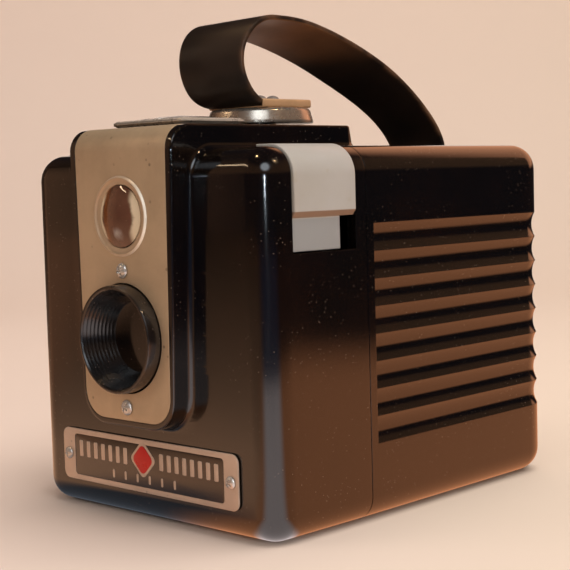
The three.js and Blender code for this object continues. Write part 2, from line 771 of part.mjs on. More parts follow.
function windingKnob() {
  const grip = new THREE.Shape();
  const teeth = 24;
  for (let i = 0; i < teeth * 2; i += 1) {
    const angle = (i / (teeth * 2)) * Math.PI * 2;
    const radius = i % 2 ? 10.6 : 11.3;
    const place = [TAKEUP_Y + radius * Math.cos(angle), TAKEUP_Z + radius * Math.sin(angle)];
    if (i) grip.lineTo(...place);
    else grip.moveTo(...place);
  }
  const rim = raised(grip, 'x', KNOB_OUTER + 1, KNOB_INNER - 1);
  const core = spun([
    [0, KNOB_OUTER],
    [9.6, KNOB_OUTER],
    [10.6, KNOB_OUTER + 1],
    [10.6, KNOB_INNER - 1],
    [8, KNOB_INNER],
    [0, KNOB_INNER],
  ], 'x', [0, TAKEUP_Y, TAKEUP_Z], 24);
  const shaft = rod('x', 2.6, KNOB_INNER - 1, -35.6, [0, TAKEUP_Y, TAKEUP_Z], 16);
  const key = block([-36, TAKEUP_Y - 0.45, TAKEUP_Z - 1.9], [-29, TAKEUP_Y + 0.45, TAKEUP_Z + 1.9]);
  return joined([rim, core, shaft, key]);
}

// Flanged sleeve that turns in the wall and in which the knob's keyed shaft slides.
function windingBushing() {
  return spun([
    [2.9, -SIDE + 0.2],
    [4.1, -SIDE + 0.2],
    [4.1, -SIDE + WALL + GAP],
    [6, -SIDE + WALL + GAP],
    [6, -SIDE + WALL + GAP + 1],
    [2.9, -SIDE + WALL + GAP + 1],
  ], 'x', [0, TAKEUP_Y, TAKEUP_Z], 16);
}

// ---------- assembly ----------
const camera = new THREE.Group();

function place(name, manifold, material, position = [0, 0, 0]) {
  const mesh = new THREE.Mesh(geometryOf(manifold), material.clone());
  mesh.name = name;
  mesh.position.set(...position);
  camera.add(mesh);
}

place('front_shell', frontShell(), mouldedBlack);
place('rear_shell', rearShell(), mouldedBlack);
place('face_panel', facePanel(), satinMetal);
place('nameplate', namePlate(), satinMetal);
place('lens_barrel', lensBarrel(), mouldedBlack);
place('taking_lens', takingLens(), clearGlass);
place('lens_retainer_spring', retainerSpring(), steel);
place('finder_front_lens', finderFrontLens(), clearGlass);
place('finder_bead', finderBead(), satinMetal);
place('finder_mirror', finderMirror(), mirrorGlass);
place('finder_top_frame', finderTopFrame(), satinMetal);
place('finder_top_lens', finderTopLens(), clearGlass);
const panelScrew = crossScrew(1.85, PANEL_FRONT - HOUSING_FRONT - 0.2, 0.8, 3);
place('panel_screw_upper', panelScrew, nickel, screwPlaces[0]);
place('panel_screw_lower', panelScrew, nickel, screwPlaces[1]);
const plateScrew = crossScrew(1.5, -GAP - SHEET - 0.2, 0.7, 3);
place('plate_screw_left', plateScrew, nickel, screwPlaces[2]);
place('plate_screw_right', plateScrew, nickel, screwPlaces[3]);
place('shutter_board', shutterBoard(), blackMetal);
place('shutter_blade', shutterBlade(), steel);
place('shutter_pivot', shutterPivot(), steel);
place('shutter_spring', shutterSpring(), steel);
place('spring_post', springPost(), steel);
place('exposure_lever', sideControl(1, {
  front: LEVER_FRONT,
  back: LEVER_BACK,
  tongueBack: TONGUE_BACK,
  tip: LEVER_TIP,
  proud: 0.5,
}), ivory);
place('exposure_link', controlLink(1, LINK_Y, 52, 76), steel);
place('shutter_release', sideControl(-1, {
  front: RELEASE_FRONT,
  back: RELEASE_BACK,
  tongueBack: RELEASE_BACK,
  tip: LEVER_TIP + RELEASE_TRAVEL,
  proud: 0.3,
}), ivory);
place('release_link', controlLink(-1, LINK_Y, 52, 76), steel);
place('film_carrier', filmCarrier(), blackMetal);
place('upper_roller', filmRoller(1), steel);
place('lower_roller', filmRoller(-1), steel);
place('takeup_spool', takeupSpool(), spoolMetal);
place('winding_bushing', windingBushing(), steel);
place('winding_knob', windingKnob(), mouldedBlack);
place('red_window', redWindow(), redPlastic);
place('latch_disc', latchDisc(), nickel);
place('latch_hook', latchHook(), steel);
place('strap_clip', strapClip(), satinMetal);
place('clip_rivet_front', clipRivet(), nickel, [0, LATCH_Y, 0]);
place('clip_rivet_rear', clipRivet(), nickel, [0, LATCH_Y + 4.6, 0]);
place('strap', strap(), leather);
place('strap_anchor', strapAnchor(), steel);

export default camera;
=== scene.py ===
"""Looks of the box camera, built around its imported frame. Lengths are millimetres until a mesh is made."""
import math

import bmesh
import bpy
import numpy as np
from mathutils import Matrix, Vector


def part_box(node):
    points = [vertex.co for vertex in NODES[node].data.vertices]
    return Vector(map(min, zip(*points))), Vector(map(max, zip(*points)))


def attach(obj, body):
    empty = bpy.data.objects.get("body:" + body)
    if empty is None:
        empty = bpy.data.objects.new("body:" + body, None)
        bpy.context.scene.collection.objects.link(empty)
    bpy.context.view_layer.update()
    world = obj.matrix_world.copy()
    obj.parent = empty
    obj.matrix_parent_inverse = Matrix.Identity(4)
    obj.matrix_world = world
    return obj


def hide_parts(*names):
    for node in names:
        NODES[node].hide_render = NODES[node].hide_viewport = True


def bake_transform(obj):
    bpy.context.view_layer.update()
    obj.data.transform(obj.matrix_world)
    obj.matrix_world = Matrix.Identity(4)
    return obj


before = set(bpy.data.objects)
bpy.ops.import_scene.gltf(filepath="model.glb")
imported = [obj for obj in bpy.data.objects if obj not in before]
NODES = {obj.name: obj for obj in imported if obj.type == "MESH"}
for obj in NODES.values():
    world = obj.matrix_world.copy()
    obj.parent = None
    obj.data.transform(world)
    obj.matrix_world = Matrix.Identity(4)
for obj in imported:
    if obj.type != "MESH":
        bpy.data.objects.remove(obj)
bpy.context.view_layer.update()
MM = 0.001


def low_mm(node):
    """Lowest corner of a CAD node, in millimetres."""
    return np.array(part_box(node)[0]) / MM


def high_mm(node):
    """Highest corner of a CAD node, in millimetres."""
    return np.array(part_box(node)[1]) / MM


def middle_mm(node):
    """Centre of a CAD node, in millimetres."""
    return (low_mm(node) + high_mm(node)) / 2


# ---------- driving dimensions, from the frame ----------
FRONT_Y = -54.4
BACK_Y = high_mm("rear_shell")[1]
SIDE_X = high_mm("rear_shell")[0]
SEAM_Y = (high_mm("front_shell")[1] + low_mm("rear_shell")[1]) / 2
TOP_Z = 87.2
HOUSING_TOP = high_mm("rear_shell")[2]
LENS_Z = middle_mm("lens_barrel")[2]
FINDER_Z = middle_mm("finder_bead")[2]
PANEL_Y = low_mm("face_panel")[1]
LATCH_Y = middle_mm("latch_disc")[1]
KNOB_Y = middle_mm("winding_knob")[1]
KNOB_Z = middle_mm("winding_knob")[2]

WALL = 2.5
FRONT_CORNER = 6.6
BACK_CORNER = 10.5
TOP_RIM = 6.5
BOTTOM_RIM = 6.1
DRAFT = 0.0112           # how much each side leans in, per millimetre from the seam
PANEL_PROUD = 0.05        # the facing sheet lies in a shallow seat, almost flush
HOUSING_Y = PANEL_Y + PANEL_PROUD
HOUSING_NOSE = 5.5
HOUSING_LOW = 23.5
HOUSING_END = 0.7
HOUSING_LEAN = 1.6        # how far the housing's rear end slopes back towards its foot
SEAM_GAP = 0.3
PANEL_SHEET = 0.5
LENS_HOLE = 12.9
FINDER_HOLE = 7.4
SCREW_HOLE = 1.1
SHELL_CREASE = 19
FAR = 200.0

NOSE_START = HOUSING_TOP - HOUSING_NOSE
NOSE_END = NOSE_START + HOUSING_NOSE * math.pi / 2
FOOT_START = TOP_Z - TOP_RIM
FOOT_END = NOSE_END + (FRONT_Y + TOP_RIM) - (HOUSING_Y + HOUSING_NOSE)
HOUSING_RUN = NOSE_END + HOUSING_END - (HOUSING_Y + HOUSING_NOSE)
HOUSING_EDGE = (16.6, 0.036, HOUSING_LOW, 8.0, HOUSING_RUN, 2.0)      # as housing_half takes it

PANEL_SCREWS = ("panel_screw_upper", "panel_screw_lower")
PLATE_SCREWS = ("plate_screw_left", "plate_screw_right")
SCREWS = {name: middle_mm(name) for name in PANEL_SCREWS + PLATE_SCREWS}
LEVER_LOW, LEVER_HIGH = low_mm("exposure_lever"), high_mm("exposure_lever")
LEVER_TONGUE_BACK = -30.9
RELEASE_LOW, RELEASE_HIGH = low_mm("shutter_release"), high_mm("shutter_release")

SLOT_Y = 50.4             # the strap's slot in the rear cover
STRAP_START = -9.0        # y of the strap's end inside the clip
STRAP_FLOOR = 98.5        # height of its lower run
STRAP_BEND = 10.15        # radius of the bend at the front
STRAP_BEND_Y = -19.5      # y of the bend's centre
STRAP_REACH = 26.0        # handles of the curve from the bend's top to the slot: level at the bend,
STRAP_DROP = 12.0         # upright at the slot
STRAP_ENTRY = 86.0        # height at which the curve meets the slot
STRAP_END = 81.6          # height of the strap's end in the slot
STRAP_LEAN = 3.4          # the loop leans: its +X edge lies this far behind its middle,
BEND_RISE = 1.8           # and this far above it round the bend,
TOP_RISE = 1.3            # and this far on the top run
LEAN_IN = (10, 38)        # the lean backwards comes in between these runs along the strap,
LEAN_OUT = 125            # and goes over a length that ends at this run
LEAN_FADE = 45
BEND_RUNS = (10, 22, 24, 46)      # each rise comes in between the first two runs and goes between the others
TOP_RUNS = (28, 58, 84, 114)

FLUTES = 8
FLUTE_LOW = 18.05
FLUTE_PITCH = 6.4
FLUTE_DEPTH = 0.85
FLUTE_START = SEAM_Y + 2.5


# ---------- mesh helpers ----------
def make(name, verts, faces, crease=35.0):
    """A mesh object from millimetre points, shaded smooth up to an angle."""
    mesh = bpy.data.meshes.new(name)
    mesh.from_pydata((np.asarray(verts, float) * MM).tolist(), [], faces)
    obj = bpy.data.objects.new(name, mesh)
    bpy.context.scene.collection.objects.link(obj)
    tidy(obj, crease)
    return obj


def tidy(obj, crease=35.0):
    """Faces outwards, no doubles, smooth up to the crease angle."""
    bm = bmesh.new()
    bm.from_mesh(obj.data)
    bmesh.ops.remove_doubles(bm, verts=bm.verts, dist=1e-6)
    bmesh.ops.recalc_face_normals(bm, faces=bm.faces)
    bm.to_mesh(obj.data)
    bm.free()
    obj.data.shade_smooth()
    obj.data.set_sharp_from_angle(angle=math.radians(crease))


def loft(name, rings, closed=False, strips=False, crease=35.0):
    """Skin over closed rings of equal point counts, capped at both ends unless it closes on itself.

    A cap is one face, or strips across a ring whose second half mirrors its first.
    """
    count = len(rings[0])
    verts = np.vstack(rings)
    faces = []
    steps = len(rings) if closed else len(rings) - 1
    for k in range(steps):
        a = k * count
        b = ((k + 1) % len(rings)) * count
        for i in range(count):
            j = (i + 1) % count
            faces.append((a + i, a + j, b + j, b + i))
    if not closed:
        for start in (0, (len(rings) - 1) * count):
            if strips:
                for i in range(count // 2 - 1):
                    faces.append((start + i, start + i + 1, start + count - 2 - i, start + count - 1 - i))
            else:
                faces.append(tuple(range(start, start + count)))
    return make(name, verts, faces, crease)


def rounded_line(points, radius, steps=6):
    """A closed line of straight edges with an arc of a given radius at each corner."""
    out = []
    points = [np.array(p, float) for p in points]
    for i, p in enumerate(points):
        u = points[i - 1] - p
        v = points[(i + 1) % len(points)] - p
        lu, lv = np.linalg.norm(u), np.linalg.norm(v)
        u, v = u / lu, v / lv
        half = math.acos(max(-1.0, min(1.0, float(u @ v)))) / 2
        reach = min(radius / math.tan(half), 0.49 * lu, 0.49 * lv)
        turn = reach * math.tan(half)
        bisector = (u + v) / np.linalg.norm(u + v)
        centre = p + bisector * (turn / math.sin(half))
        a, b = p + u * reach - centre, p + v * reach - centre
        total = math.acos(max(-1.0, min(1.0, float(a @ b) / (turn * turn))))
        for k in range(steps + 1):
            t = k / steps
            spoke = a * math.sin((1 - t) * total) + b * math.sin(t * total)
            out.append(centre + spoke / math.sin(total))
    return np.array(out)


AXIS_FRAME = {
    "x": np.array([[0, 1, 0], [0, 0, 1], [1, 0, 0]], float),
    "y": np.array([[1, 0, 0], [0, 0, 1], [0, 1, 0]], float),
    "z": np.array([[1, 0, 0], [0, 1, 0], [0, 0, 1]], float),
}


def along(axis, first, second, level):
    """Points drawn in the plane across an axis, at a level on it."""
    f = AXIS_FRAME[axis]
    first, second, level = np.broadcast_arrays(first, second, level)
    return first[..., None] * f[0] + second[..., None] * f[1] + level[..., None] * f[2]


def spin(name, profile, axis, centre=(0, 0, 0), segments=96, crease=35.0):
    """A closed [radius, level] profile turned round an axis."""
    profile = np.asarray(profile, float)
    turns = np.linspace(0, 2 * math.pi, segments, endpoint=False)
    rings = []
    for t in turns:
        ring = along(axis, profile[:, 0] * math.cos(t), profile[:, 0] * math.sin(t), profile[:, 1])
        rings.append(ring + np.array(centre, float))
    return loft(name, rings, closed=True, crease=crease)


def quarter(radius, steps=10):
    """(inset, rise) pairs round a quarter circle, from its flat end to its upright end."""
    angles = np.linspace(0, math.pi / 2, steps + 1)
    return [(radius * (1 - math.sin(a)), radius * (1 - math.cos(a))) for a in angles]


def slab(name, outline, axis, low, high, bevel=0.0, steps=4):
    """A flat outline raised along an axis, with rounded edges made by insetting it."""
    outline = np.asarray(outline, float)
    levels = [(inset, low + rise) for inset, rise in quarter(bevel, steps)] if bevel else [(0, low)]
    levels += [(inset, low + high - level) for inset, level in reversed(levels)]
    rings = []
    for inset, level in levels:
        points = inset_line(outline, inset)
        rings.append(along(axis, points[:, 0], points[:, 1], level))
    return loft(name, rings)


def inset_line(outline, amount):
    """A closed outline moved inwards by an amount, along its corner bisectors."""
    if amount == 0:
        return outline
    before = np.roll(outline, 1, 0)
    after = np.roll(outline, -1, 0)
    e1 = outline - before
    e2 = after - outline
    n1 = np.stack([-e1[:, 1], e1[:, 0]], 1) / np.linalg.norm(e1, axis=1)[:, None]
    n2 = np.stack([-e2[:, 1], e2[:, 0]], 1) / np.linalg.norm(e2, axis=1)[:, None]
    area = 0.5 * np.sum(before[:, 0] * outline[:, 1] - outline[:, 0] * before[:, 1])
    sign = 1 if area > 0 else -1
    m = n1 + n2
    m = m / np.linalg.norm(m, axis=1)[:, None]
    scale = 1 / np.maximum((m * n1).sum(1), 0.3)
    return outline + sign * amount * m * scale[:, None]


def arc(x, y, radius, start, end, count):
    """Points round a centre, from one angle to another in degrees."""
    angles = np.radians(np.linspace(start, end, count))
    return [(x + radius * math.cos(a), y + radius * math.sin(a)) for a in angles]


def rectangle(x0, z0, x1, z1, radius, steps=6):
    """A rectangle with rounded corners."""
    return rounded_line([(x0, z0), (x1, z0), (x1, z1), (x0, z1)], radius, steps)


def circle(radius, count):
    """A closed circle of points."""
    t = np.linspace(0, 2 * math.pi, count, endpoint=False)
    return np.stack([radius * np.cos(t), radius * np.sin(t)], 1)


def box_mm(name, low, high):
    """A plain cutter block."""
    (x0, y0, z0), (x1, y1, z1) = low, high
    verts = [(x, y, z) for z in (z0, z1) for y in (y0, y1) for x in (x0, x1)]
    faces = [(0, 2, 3, 1), (4, 5, 7, 6), (0, 1, 5, 4), (2, 6, 7, 3), (0, 4, 6, 2), (1, 3, 7, 5)]
    return make(name, verts, faces)


def boolean(obj, others, operation, crease=35.0):
    """Joins, cuts or keeps the common part of obj and each other piece, which are then deleted."""
    for other in others:
        modifier = obj.modifiers.new("cut", "BOOLEAN")
        modifier.solver = "MANIFOLD"
        modifier.operation = operation
        modifier.object = other
        apply_modifiers(obj)
        bpy.data.objects.remove(other)
    tidy(obj, crease)


def apply_modifiers(obj):
    """Turns the modified shape into the object's own mesh."""
    bpy.context.view_layer.update()
    graph = bpy.context.evaluated_depsgraph_get()
    mesh = bpy.data.meshes.new_from_object(obj.evaluated_get(graph), depsgraph=graph)
    obj.modifiers.clear()
    old = obj.data
    obj.data = mesh
    bpy.data.meshes.remove(old)


def flatten_shading(obj):
    """Lets large flat faces set the shading at their borders."""
    modifier = obj.modifiers.new("weighted", "WEIGHTED_NORMAL")
    modifier.mode = "FACE_AREA"
    modifier.weight = 50
    modifier.keep_sharp = True
    apply_modifiers(obj)


# ---------- materials ----------
class Nodes:
    """Short calls for building one node tree: a material's, or the world's when no name is given."""

    def __init__(self, name=None, world=None):
        self.material = world if world else bpy.data.materials.new(name)
        self.material.use_nodes = True
        self.tree = self.material.node_tree
        self.tree.nodes.clear()
        kinds = ("World", "Background") if world else ("Material", "BsdfPrincipled")
        self.output = self.add("ShaderNodeOutput" + kinds[0])
        self.shader = self.add("ShaderNode" + kinds[1])
        self.tree.links.new(self.shader.outputs[0], self.output.inputs[0])
        self.position = self.add("ShaderNodeTexCoord").outputs["Generated" if world else "Object"]

    def add(self, kind, **settings):
        node = self.tree.nodes.new(kind)
        for key, value in settings.items():
            setattr(node, key, value)
        return node

    def put(self, socket, value):
        if isinstance(value, bpy.types.NodeSocket):
            self.tree.links.new(value, socket)
        else:
            socket.default_value = value

    def set(self, **values):
        for key, value in values.items():
            self.put(self.shader.inputs[key.replace("_", " ")], value)

    def noise(self, scale, detail=3.0, roughness=0.55, stretch=None, offset=0.0):
        vector = self.position
        if stretch is not None or offset:
            mapping = self.add("ShaderNodeMapping")
            self.put(mapping.inputs["Vector"], vector)
            if stretch is not None:
                mapping.inputs["Scale"].default_value = stretch
            mapping.inputs["Location"].default_value = (offset, offset * 0.7, offset * 1.3)
            vector = mapping.outputs[0]
        node = self.add("ShaderNodeTexNoise")
        self.put(node.inputs["Vector"], vector)
        node.inputs["Scale"].default_value = scale
        node.inputs["Detail"].default_value = detail
        node.inputs["Roughness"].default_value = roughness
        return node.outputs["Fac"]

    def specks(self, scale, size):
        """1 inside small scattered dots, 0 elsewhere."""
        node = self.add("ShaderNodeTexVoronoi")
        self.put(node.inputs["Vector"], self.position)
        node.inputs["Scale"].default_value = scale
        return self.ramp(node.outputs["Distance"], (size, 1.0), (size * 1.6, 0.0))

    def dots(self, scale, size, patches, start, end, most=1.0, offset=0.0):
        """Specks that come in patches, from none below one level of a noise to most of them above another."""
        patchy = self.ramp(self.noise(patches, 2, offset=offset), (start, 0.0), (end, most))
        return self.times(self.specks(scale, size), patchy)

    def ramp(self, value, *stops):
        """A curve through (position, value) stops, as grey."""
        node = self.add("ShaderNodeValToRGB")
        self.put(node.inputs[0], value)
        elements = node.color_ramp.elements
        while len(elements) < len(stops):
            elements.new(0.5)
        for element, (position, level) in zip(elements, stops):
            element.position = position
            element.color = (level, level, level, 1)
        return node.outputs[0]

    def mix(self, factor, a, b):
        node = self.add("ShaderNodeMix", data_type="RGBA")
        self.put(node.inputs[0], factor)
        self.put(node.inputs[6], (*a, 1) if isinstance(a, tuple) and len(a) == 3 else a)
        self.put(node.inputs[7], (*b, 1) if isinstance(b, tuple) and len(b) == 3 else b)
        return node.outputs[2]

    def math(self, operation, a, b=0.0, clamp=False):
        node = self.add("ShaderNodeMath", operation=operation, use_clamp=clamp)
        self.put(node.inputs[0], a)
        self.put(node.inputs[1], b)
        return node.outputs[0]

    def times(self, a, b):
        return self.math("MULTIPLY", a, b)

    def plus(self, a, b):
        return self.math("ADD", a, b)

    def bump(self, height, distance, strength=1.0, base=None):
        node = self.add("ShaderNodeBump")
        node.inputs["Strength"].default_value = strength
        node.inputs["Distance"].default_value = distance * MM
        self.put(node.inputs["Height"], height)
        if base is not None:
            self.put(node.inputs["Normal"], base)
        return node.outputs[0]

    def soft_edges(self, radius):
        node = self.add("ShaderNodeBevel", samples=4)
        node.inputs["Radius"].default_value = radius * MM
        return node.outputs[0]

    def part(self, axis):
        """One coordinate of the position, in metres."""
        node = self.add("ShaderNodeSeparateXYZ")
        self.put(node.inputs[0], self.position)
        return node.outputs[axis]

    def towards(self, direction, start, end, origin=(0, 0, 0)):
        """0 to 1 as the direction from an origin turns to a given one; start and end are cosines."""
        offset = self.add("ShaderNodeVectorMath", operation="SUBTRACT")
        self.put(offset.inputs[0], self.position)
        offset.inputs[1].default_value = origin
        unit = self.add("ShaderNodeVectorMath", operation="NORMALIZE")
        self.put(unit.inputs[0], offset.outputs[0])
        dot = self.add("ShaderNodeVectorMath", operation="DOT_PRODUCT")
        self.put(dot.inputs[0], unit.outputs[0])
        dot.inputs[1].default_value = Vector(direction).normalized()
        return self.steps(dot.outputs["Value"], start, end)

    def steps(self, value, start, end):
        """0 below start, 1 above end (or the reverse, when end is the lower), smooth between."""
        node = self.add("ShaderNodeMapRange", interpolation_type="SMOOTHSTEP")
        self.put(node.inputs["Value"], value)
        for key, number in zip(("From Min", "From Max"), sorted((start, end))):
            node.inputs[key].default_value = number
        for key, number in zip(("To Min", "To Max"), (0.0, 1.0) if end > start else (1.0, 0.0)):
            node.inputs[key].default_value = number
        return node.outputs["Result"]

    def distance(self, point=(0, 0, 0)):
        """How far the position is from a point, in metres."""
        node = self.add("ShaderNodeVectorMath", operation="DISTANCE")
        self.put(node.inputs[0], self.position)
        node.inputs[1].default_value = point
        return node.outputs["Value"]

    def ray(self, kind):
        """1 for one kind of ray, such as Is Glossy Ray."""
        return self.add("ShaderNodeLightPath").outputs[kind]


def moulded_material(name, tint=(0.0030, 0.0020, 0.0017), dusty=1.0, dull=0.0):
    """Glossy dark brown-black moulding with a faint mottle, fine scratches and dust."""
    n = Nodes(name)
    mottle = n.noise(38, 4, 0.6)
    fine = n.noise(900, 2, 0.5)
    warm = tuple(c * k for c, k in zip(tint, (2.4, 1.5, 1.1)))
    colour = n.mix(n.ramp(mottle, (0.42, 0.0), (0.72, 1.0)), tint, warm)
    dots = n.dots(850, 0.065, 60, 0.38, 0.58)
    dust = n.math("MULTIPLY", dots, 0.8 * dusty, clamp=True)
    colour = n.mix(dust, colour, (0.24, 0.18, 0.14))
    scratch = n.noise(240, 2, 0.5, stretch=(1, 1, 0.06))
    rough = n.plus(n.ramp(n.noise(26, 5, 0.65), (0.3, 0.09 + dull), (0.7, 0.16 + dull)),
                   n.times(dust, 0.4))
    rough = n.plus(rough, n.ramp(scratch, (0.62, 0.0), (0.74, 0.10)))
    normal = n.bump(fine, 0.010, 0.35, n.bump(n.noise(16, 3), 0.16, 0.22, n.soft_edges(0.35)))
    n.set(Base_Color=colour, Roughness=rough, Normal=normal, Coat_Weight=0.8, Coat_Roughness=0.05 + dull)
    n.set(Specular_IOR_Level=0.9)
    return n.material


def satin_metal_material(name, colour, rough=0.4, metallic=0.9, grain=(1, 1, 0.03), patina=0.25):
    """Rolled or lacquered sheet with a faint one-way grain and patches of tarnish."""
    n = Nodes(name)
    dark = tuple(c * (1 - patina) for c in colour)
    base = n.mix(n.ramp(n.noise(45, 5, 0.65), (0.35, 0.0), (0.75, 1.0)), colour, dark)
    spots = n.dots(330, 0.09, 75, 0.5, 0.6, 0.8, 3.0)
    base = n.mix(spots, base, tuple(c * 0.35 for c in colour))
    lines = n.noise(420, 2, 0.5, stretch=grain)
    roughness = n.plus(n.ramp(lines, (0.3, rough - 0.05), (0.7, rough + 0.06)),
                       n.ramp(n.noise(30, 3), (0.4, 0.0), (0.8, 0.10)))
    normal = n.bump(lines, 0.006, 0.5, n.bump(n.noise(20, 2), 0.12, 0.15, n.soft_edges(0.18)))
    n.set(Base_Color=base, Metallic=metallic, Roughness=roughness, Normal=normal)
    return n.material


def polished_material(name, colour=(0.78, 0.74, 0.69), rough=0.12, metallic=0.65):
    """Bright plating with wipe marks and small pits."""
    n = Nodes(name)
    wipe = n.noise(110, 4, 0.6, stretch=(1, 1, 0.4))
    pits = n.specks(900, 0.06)
    base = n.mix(n.ramp(n.noise(160, 4), (0.5, 0.0), (0.85, 0.6)), colour, tuple(c * 0.55 for c in colour))
    base = n.mix(n.times(pits, 0.5), base, (0.2, 0.15, 0.1))
    roughness = n.ramp(wipe, (0.3, rough), (0.75, rough + 0.16))
    n.set(Base_Color=base, Metallic=metallic, Roughness=roughness,
          Normal=n.bump(wipe, 0.01, 0.25, n.soft_edges(0.12)))
    return n.material


def ivory_material(name):
    """Aged ivory-grey plastic with yellowed patches, greyer below the step, and a band of painted brown shade
    under the step.
    """
    n = Nodes(name)
    cloud = n.noise(55, 4, 0.6)
    base = n.mix(n.ramp(cloud, (0.4, 0.0), (0.75, 1.0)), (0.43, 0.41, 0.39), (0.40, 0.375, 0.34))
    stain = n.ramp(n.noise(140, 3, 0.6, offset=1.7), (0.62, 0.0), (0.72, 0.5))
    base = n.mix(stain, base, (0.36, 0.30, 0.21))
    # Painted shade: a brown band under the step, where the chamfer faces down towards the warm table.
    painted_step_shade = n.times(n.steps(n.part(2), 0.0712, 0.0715), n.steps(n.part(2), 0.0729, 0.0726))
    base = n.mix(n.steps(n.part(2), 0.0713, 0.0710), base, (0.30, 0.305, 0.31))
    base = n.mix(n.times(painted_step_shade, 0.85), base, (0.22, 0.12, 0.065))
    n.set(Base_Color=base, Roughness=n.ramp(n.noise(80, 3), (0.3, 0.36), (0.7, 0.5)),
          Normal=n.bump(n.noise(700, 2), 0.008, 0.3, n.soft_edges(0.2)))
    n.set(Subsurface_Weight=0.08)
    n.set(Subsurface_Radius=(0.002, 0.0015, 0.001))
    return n.material


def glass_material(name):
    """Clear glass with the faintest dust."""
    n = Nodes(name)
    dust = n.dots(700, 0.05, 90, 0.5, 0.6)
    n.set(Base_Color=(1, 1, 1, 1), Roughness=n.times(dust, 0.5), IOR=1.5, Transmission_Weight=1.0)
    return n.material


def finder_point(x, rise):
    """A place on the facing beside the finder's axis, in metres."""
    return (x * MM, PANEL_Y * MM, (FINDER_Z + rise) * MM)


def bead_material(name):
    """The face sheet's metal pressed into a ring, with a painted highlight along the crest, most at its left
    and right.
    """
    n = Nodes(name)
    from_axis = n.distance(finder_point(0, 0))
    # Painted highlight along the crest of the ring, strongest towards its left and right.
    crest = n.times(n.steps(from_axis, 0.0088, 0.0091), n.steps(from_axis, 0.0097, 0.0094))
    sides = n.ramp(n.times(n.math("ABSOLUTE", n.part(0)), 100.0), (0.25, 0.25), (0.75, 1.0))
    base = n.mix(n.noise(160, 4), (0.57, 0.41, 0.27), (0.48, 0.335, 0.215))
    base = n.mix(n.times(crest, sides), base, (1.0, 0.93, 0.80))
    n.set(Base_Color=base, Metallic=0.3, Roughness=0.36, Normal=n.bump(n.noise(420, 2), 0.005, 0.4))
    return n.material


def lens_material(name):
    """Old lens glass whose colour is a painted brown reflection standing for the interior, with painted
    highlights at its left and right edges and painted glints low down and at the left.
    """
    n = Nodes(name)
    # Painted reflection: a mottled brown for what shows in the glass.
    painted_reflection = n.mix(n.noise(330, 3), (0.20, 0.085, 0.050), (0.10, 0.045, 0.030))
    ripple = n.times(n.noise(420, 3), 0.0016)
    # Painted highlight round the outer rim, at its left and right only.
    sides = n.steps(n.math("ABSOLUTE", n.part(0)), 0.0034, 0.0052)
    rim = n.times(n.steps(n.plus(n.distance(finder_point(0, 0)), ripple), 0.0058, 0.0068), sides)
    painted_reflection = n.mix(rim, painted_reflection, (0.90, 0.74, 0.52))
    # Painted glints: a pale one low down and a golden one at the left.
    for x, rise, outer, inner, colour in [
            (0.6, -3.6, 0.0032, 0.0016, (0.52, 0.46, 0.42)),
            (-4.8, 0.4, 0.0022, 0.0010, (0.95, 0.76, 0.42))]:
        reach = n.plus(n.distance(finder_point(x, rise)), ripple)
        painted_reflection = n.mix(n.steps(reach, outer, inner), painted_reflection, colour)
    # Painted reflection: a dark orange streak at the left.
    streak = n.times(n.steps(n.part(0), -0.0050, -0.0040), n.steps(n.part(0), -0.0022, -0.0032))
    painted_reflection = n.mix(n.times(streak, 0.6), painted_reflection, (0.30, 0.085, 0.01))
    dust = n.dots(700, 0.05, 90, 0.5, 0.6)
    n.set(Base_Color=painted_reflection, Roughness=n.times(dust, 0.4), IOR=1.5)
    n.set(Transmission_Weight=0.25)
    n.set(Coat_Weight=0.6)
    return n.material


def leather_material(name):
    """Smooth black strap: fine pebble, creases across it, brown wear at its long edges and a painted brown
    reflection under the top of the loop, towards the front.
    """
    n = Nodes(name)
    grain = n.noise(520, 4, 0.6)
    crease = n.noise(150, 3, 0.5, stretch=(0.25, 1, 1))
    across = n.math("ABSOLUTE", n.part(0))
    edge = n.ramp(n.times(across, 100.0), (0.78, 0.0), (0.93, 1.0))
    worn = n.times(edge, n.ramp(n.noise(120, 3), (0.42, 0.0), (0.62, 1.0)))
    base = n.mix(n.ramp(n.noise(60, 4), (0.4, 0.0), (0.8, 1.0)), (0.014, 0.009, 0.007), (0.034, 0.020, 0.013))
    base = n.mix(worn, base, (0.13, 0.065, 0.035))
    facing = n.add("ShaderNodeSeparateXYZ")
    n.put(facing.inputs[0], n.add("ShaderNodeNewGeometry").outputs["Normal"])
    # Painted reflection: where the strap faces down near the top of its front loop, it is painted brown as if
    # it mirrored the warm table.
    painted_underside_reflection = n.times(n.steps(facing.outputs[2], -0.15, -0.85), n.steps(n.part(1), 0.028, -0.012))
    painted_underside_reflection = n.times(painted_underside_reflection, n.steps(n.part(2), 0.1085, 0.1125))
    base = n.mix(n.times(painted_underside_reflection, n.ramp(n.noise(70, 3), (0.3, 0.6), (0.7, 1.0))), base, (0.26, 0.115, 0.05))
    height = n.plus(grain, n.times(crease, 0.8))
    n.set(Base_Color=base, Roughness=n.ramp(n.noise(90, 4), (0.3, 0.34), (0.7, 0.5)),
          Normal=n.bump(height, 0.05, 0.5))
    return n.material


def painted_works_material(name):
    """Matt black paint on pressed sheet, rubbed through in places."""
    n = Nodes(name)
    rub = n.ramp(n.noise(130, 4, 0.6), (0.66, 0.0), (0.72, 1.0))
    base = n.mix(rub, (0.012, 0.012, 0.012), (0.09, 0.085, 0.08))
    n.set(Base_Color=base, Roughness=n.ramp(n.noise(300, 3), (0.3, 0.5), (0.7, 0.66)),
          Normal=n.bump(n.noise(800, 3), 0.02, 0.4, n.soft_edges(0.15)))
    return n.material


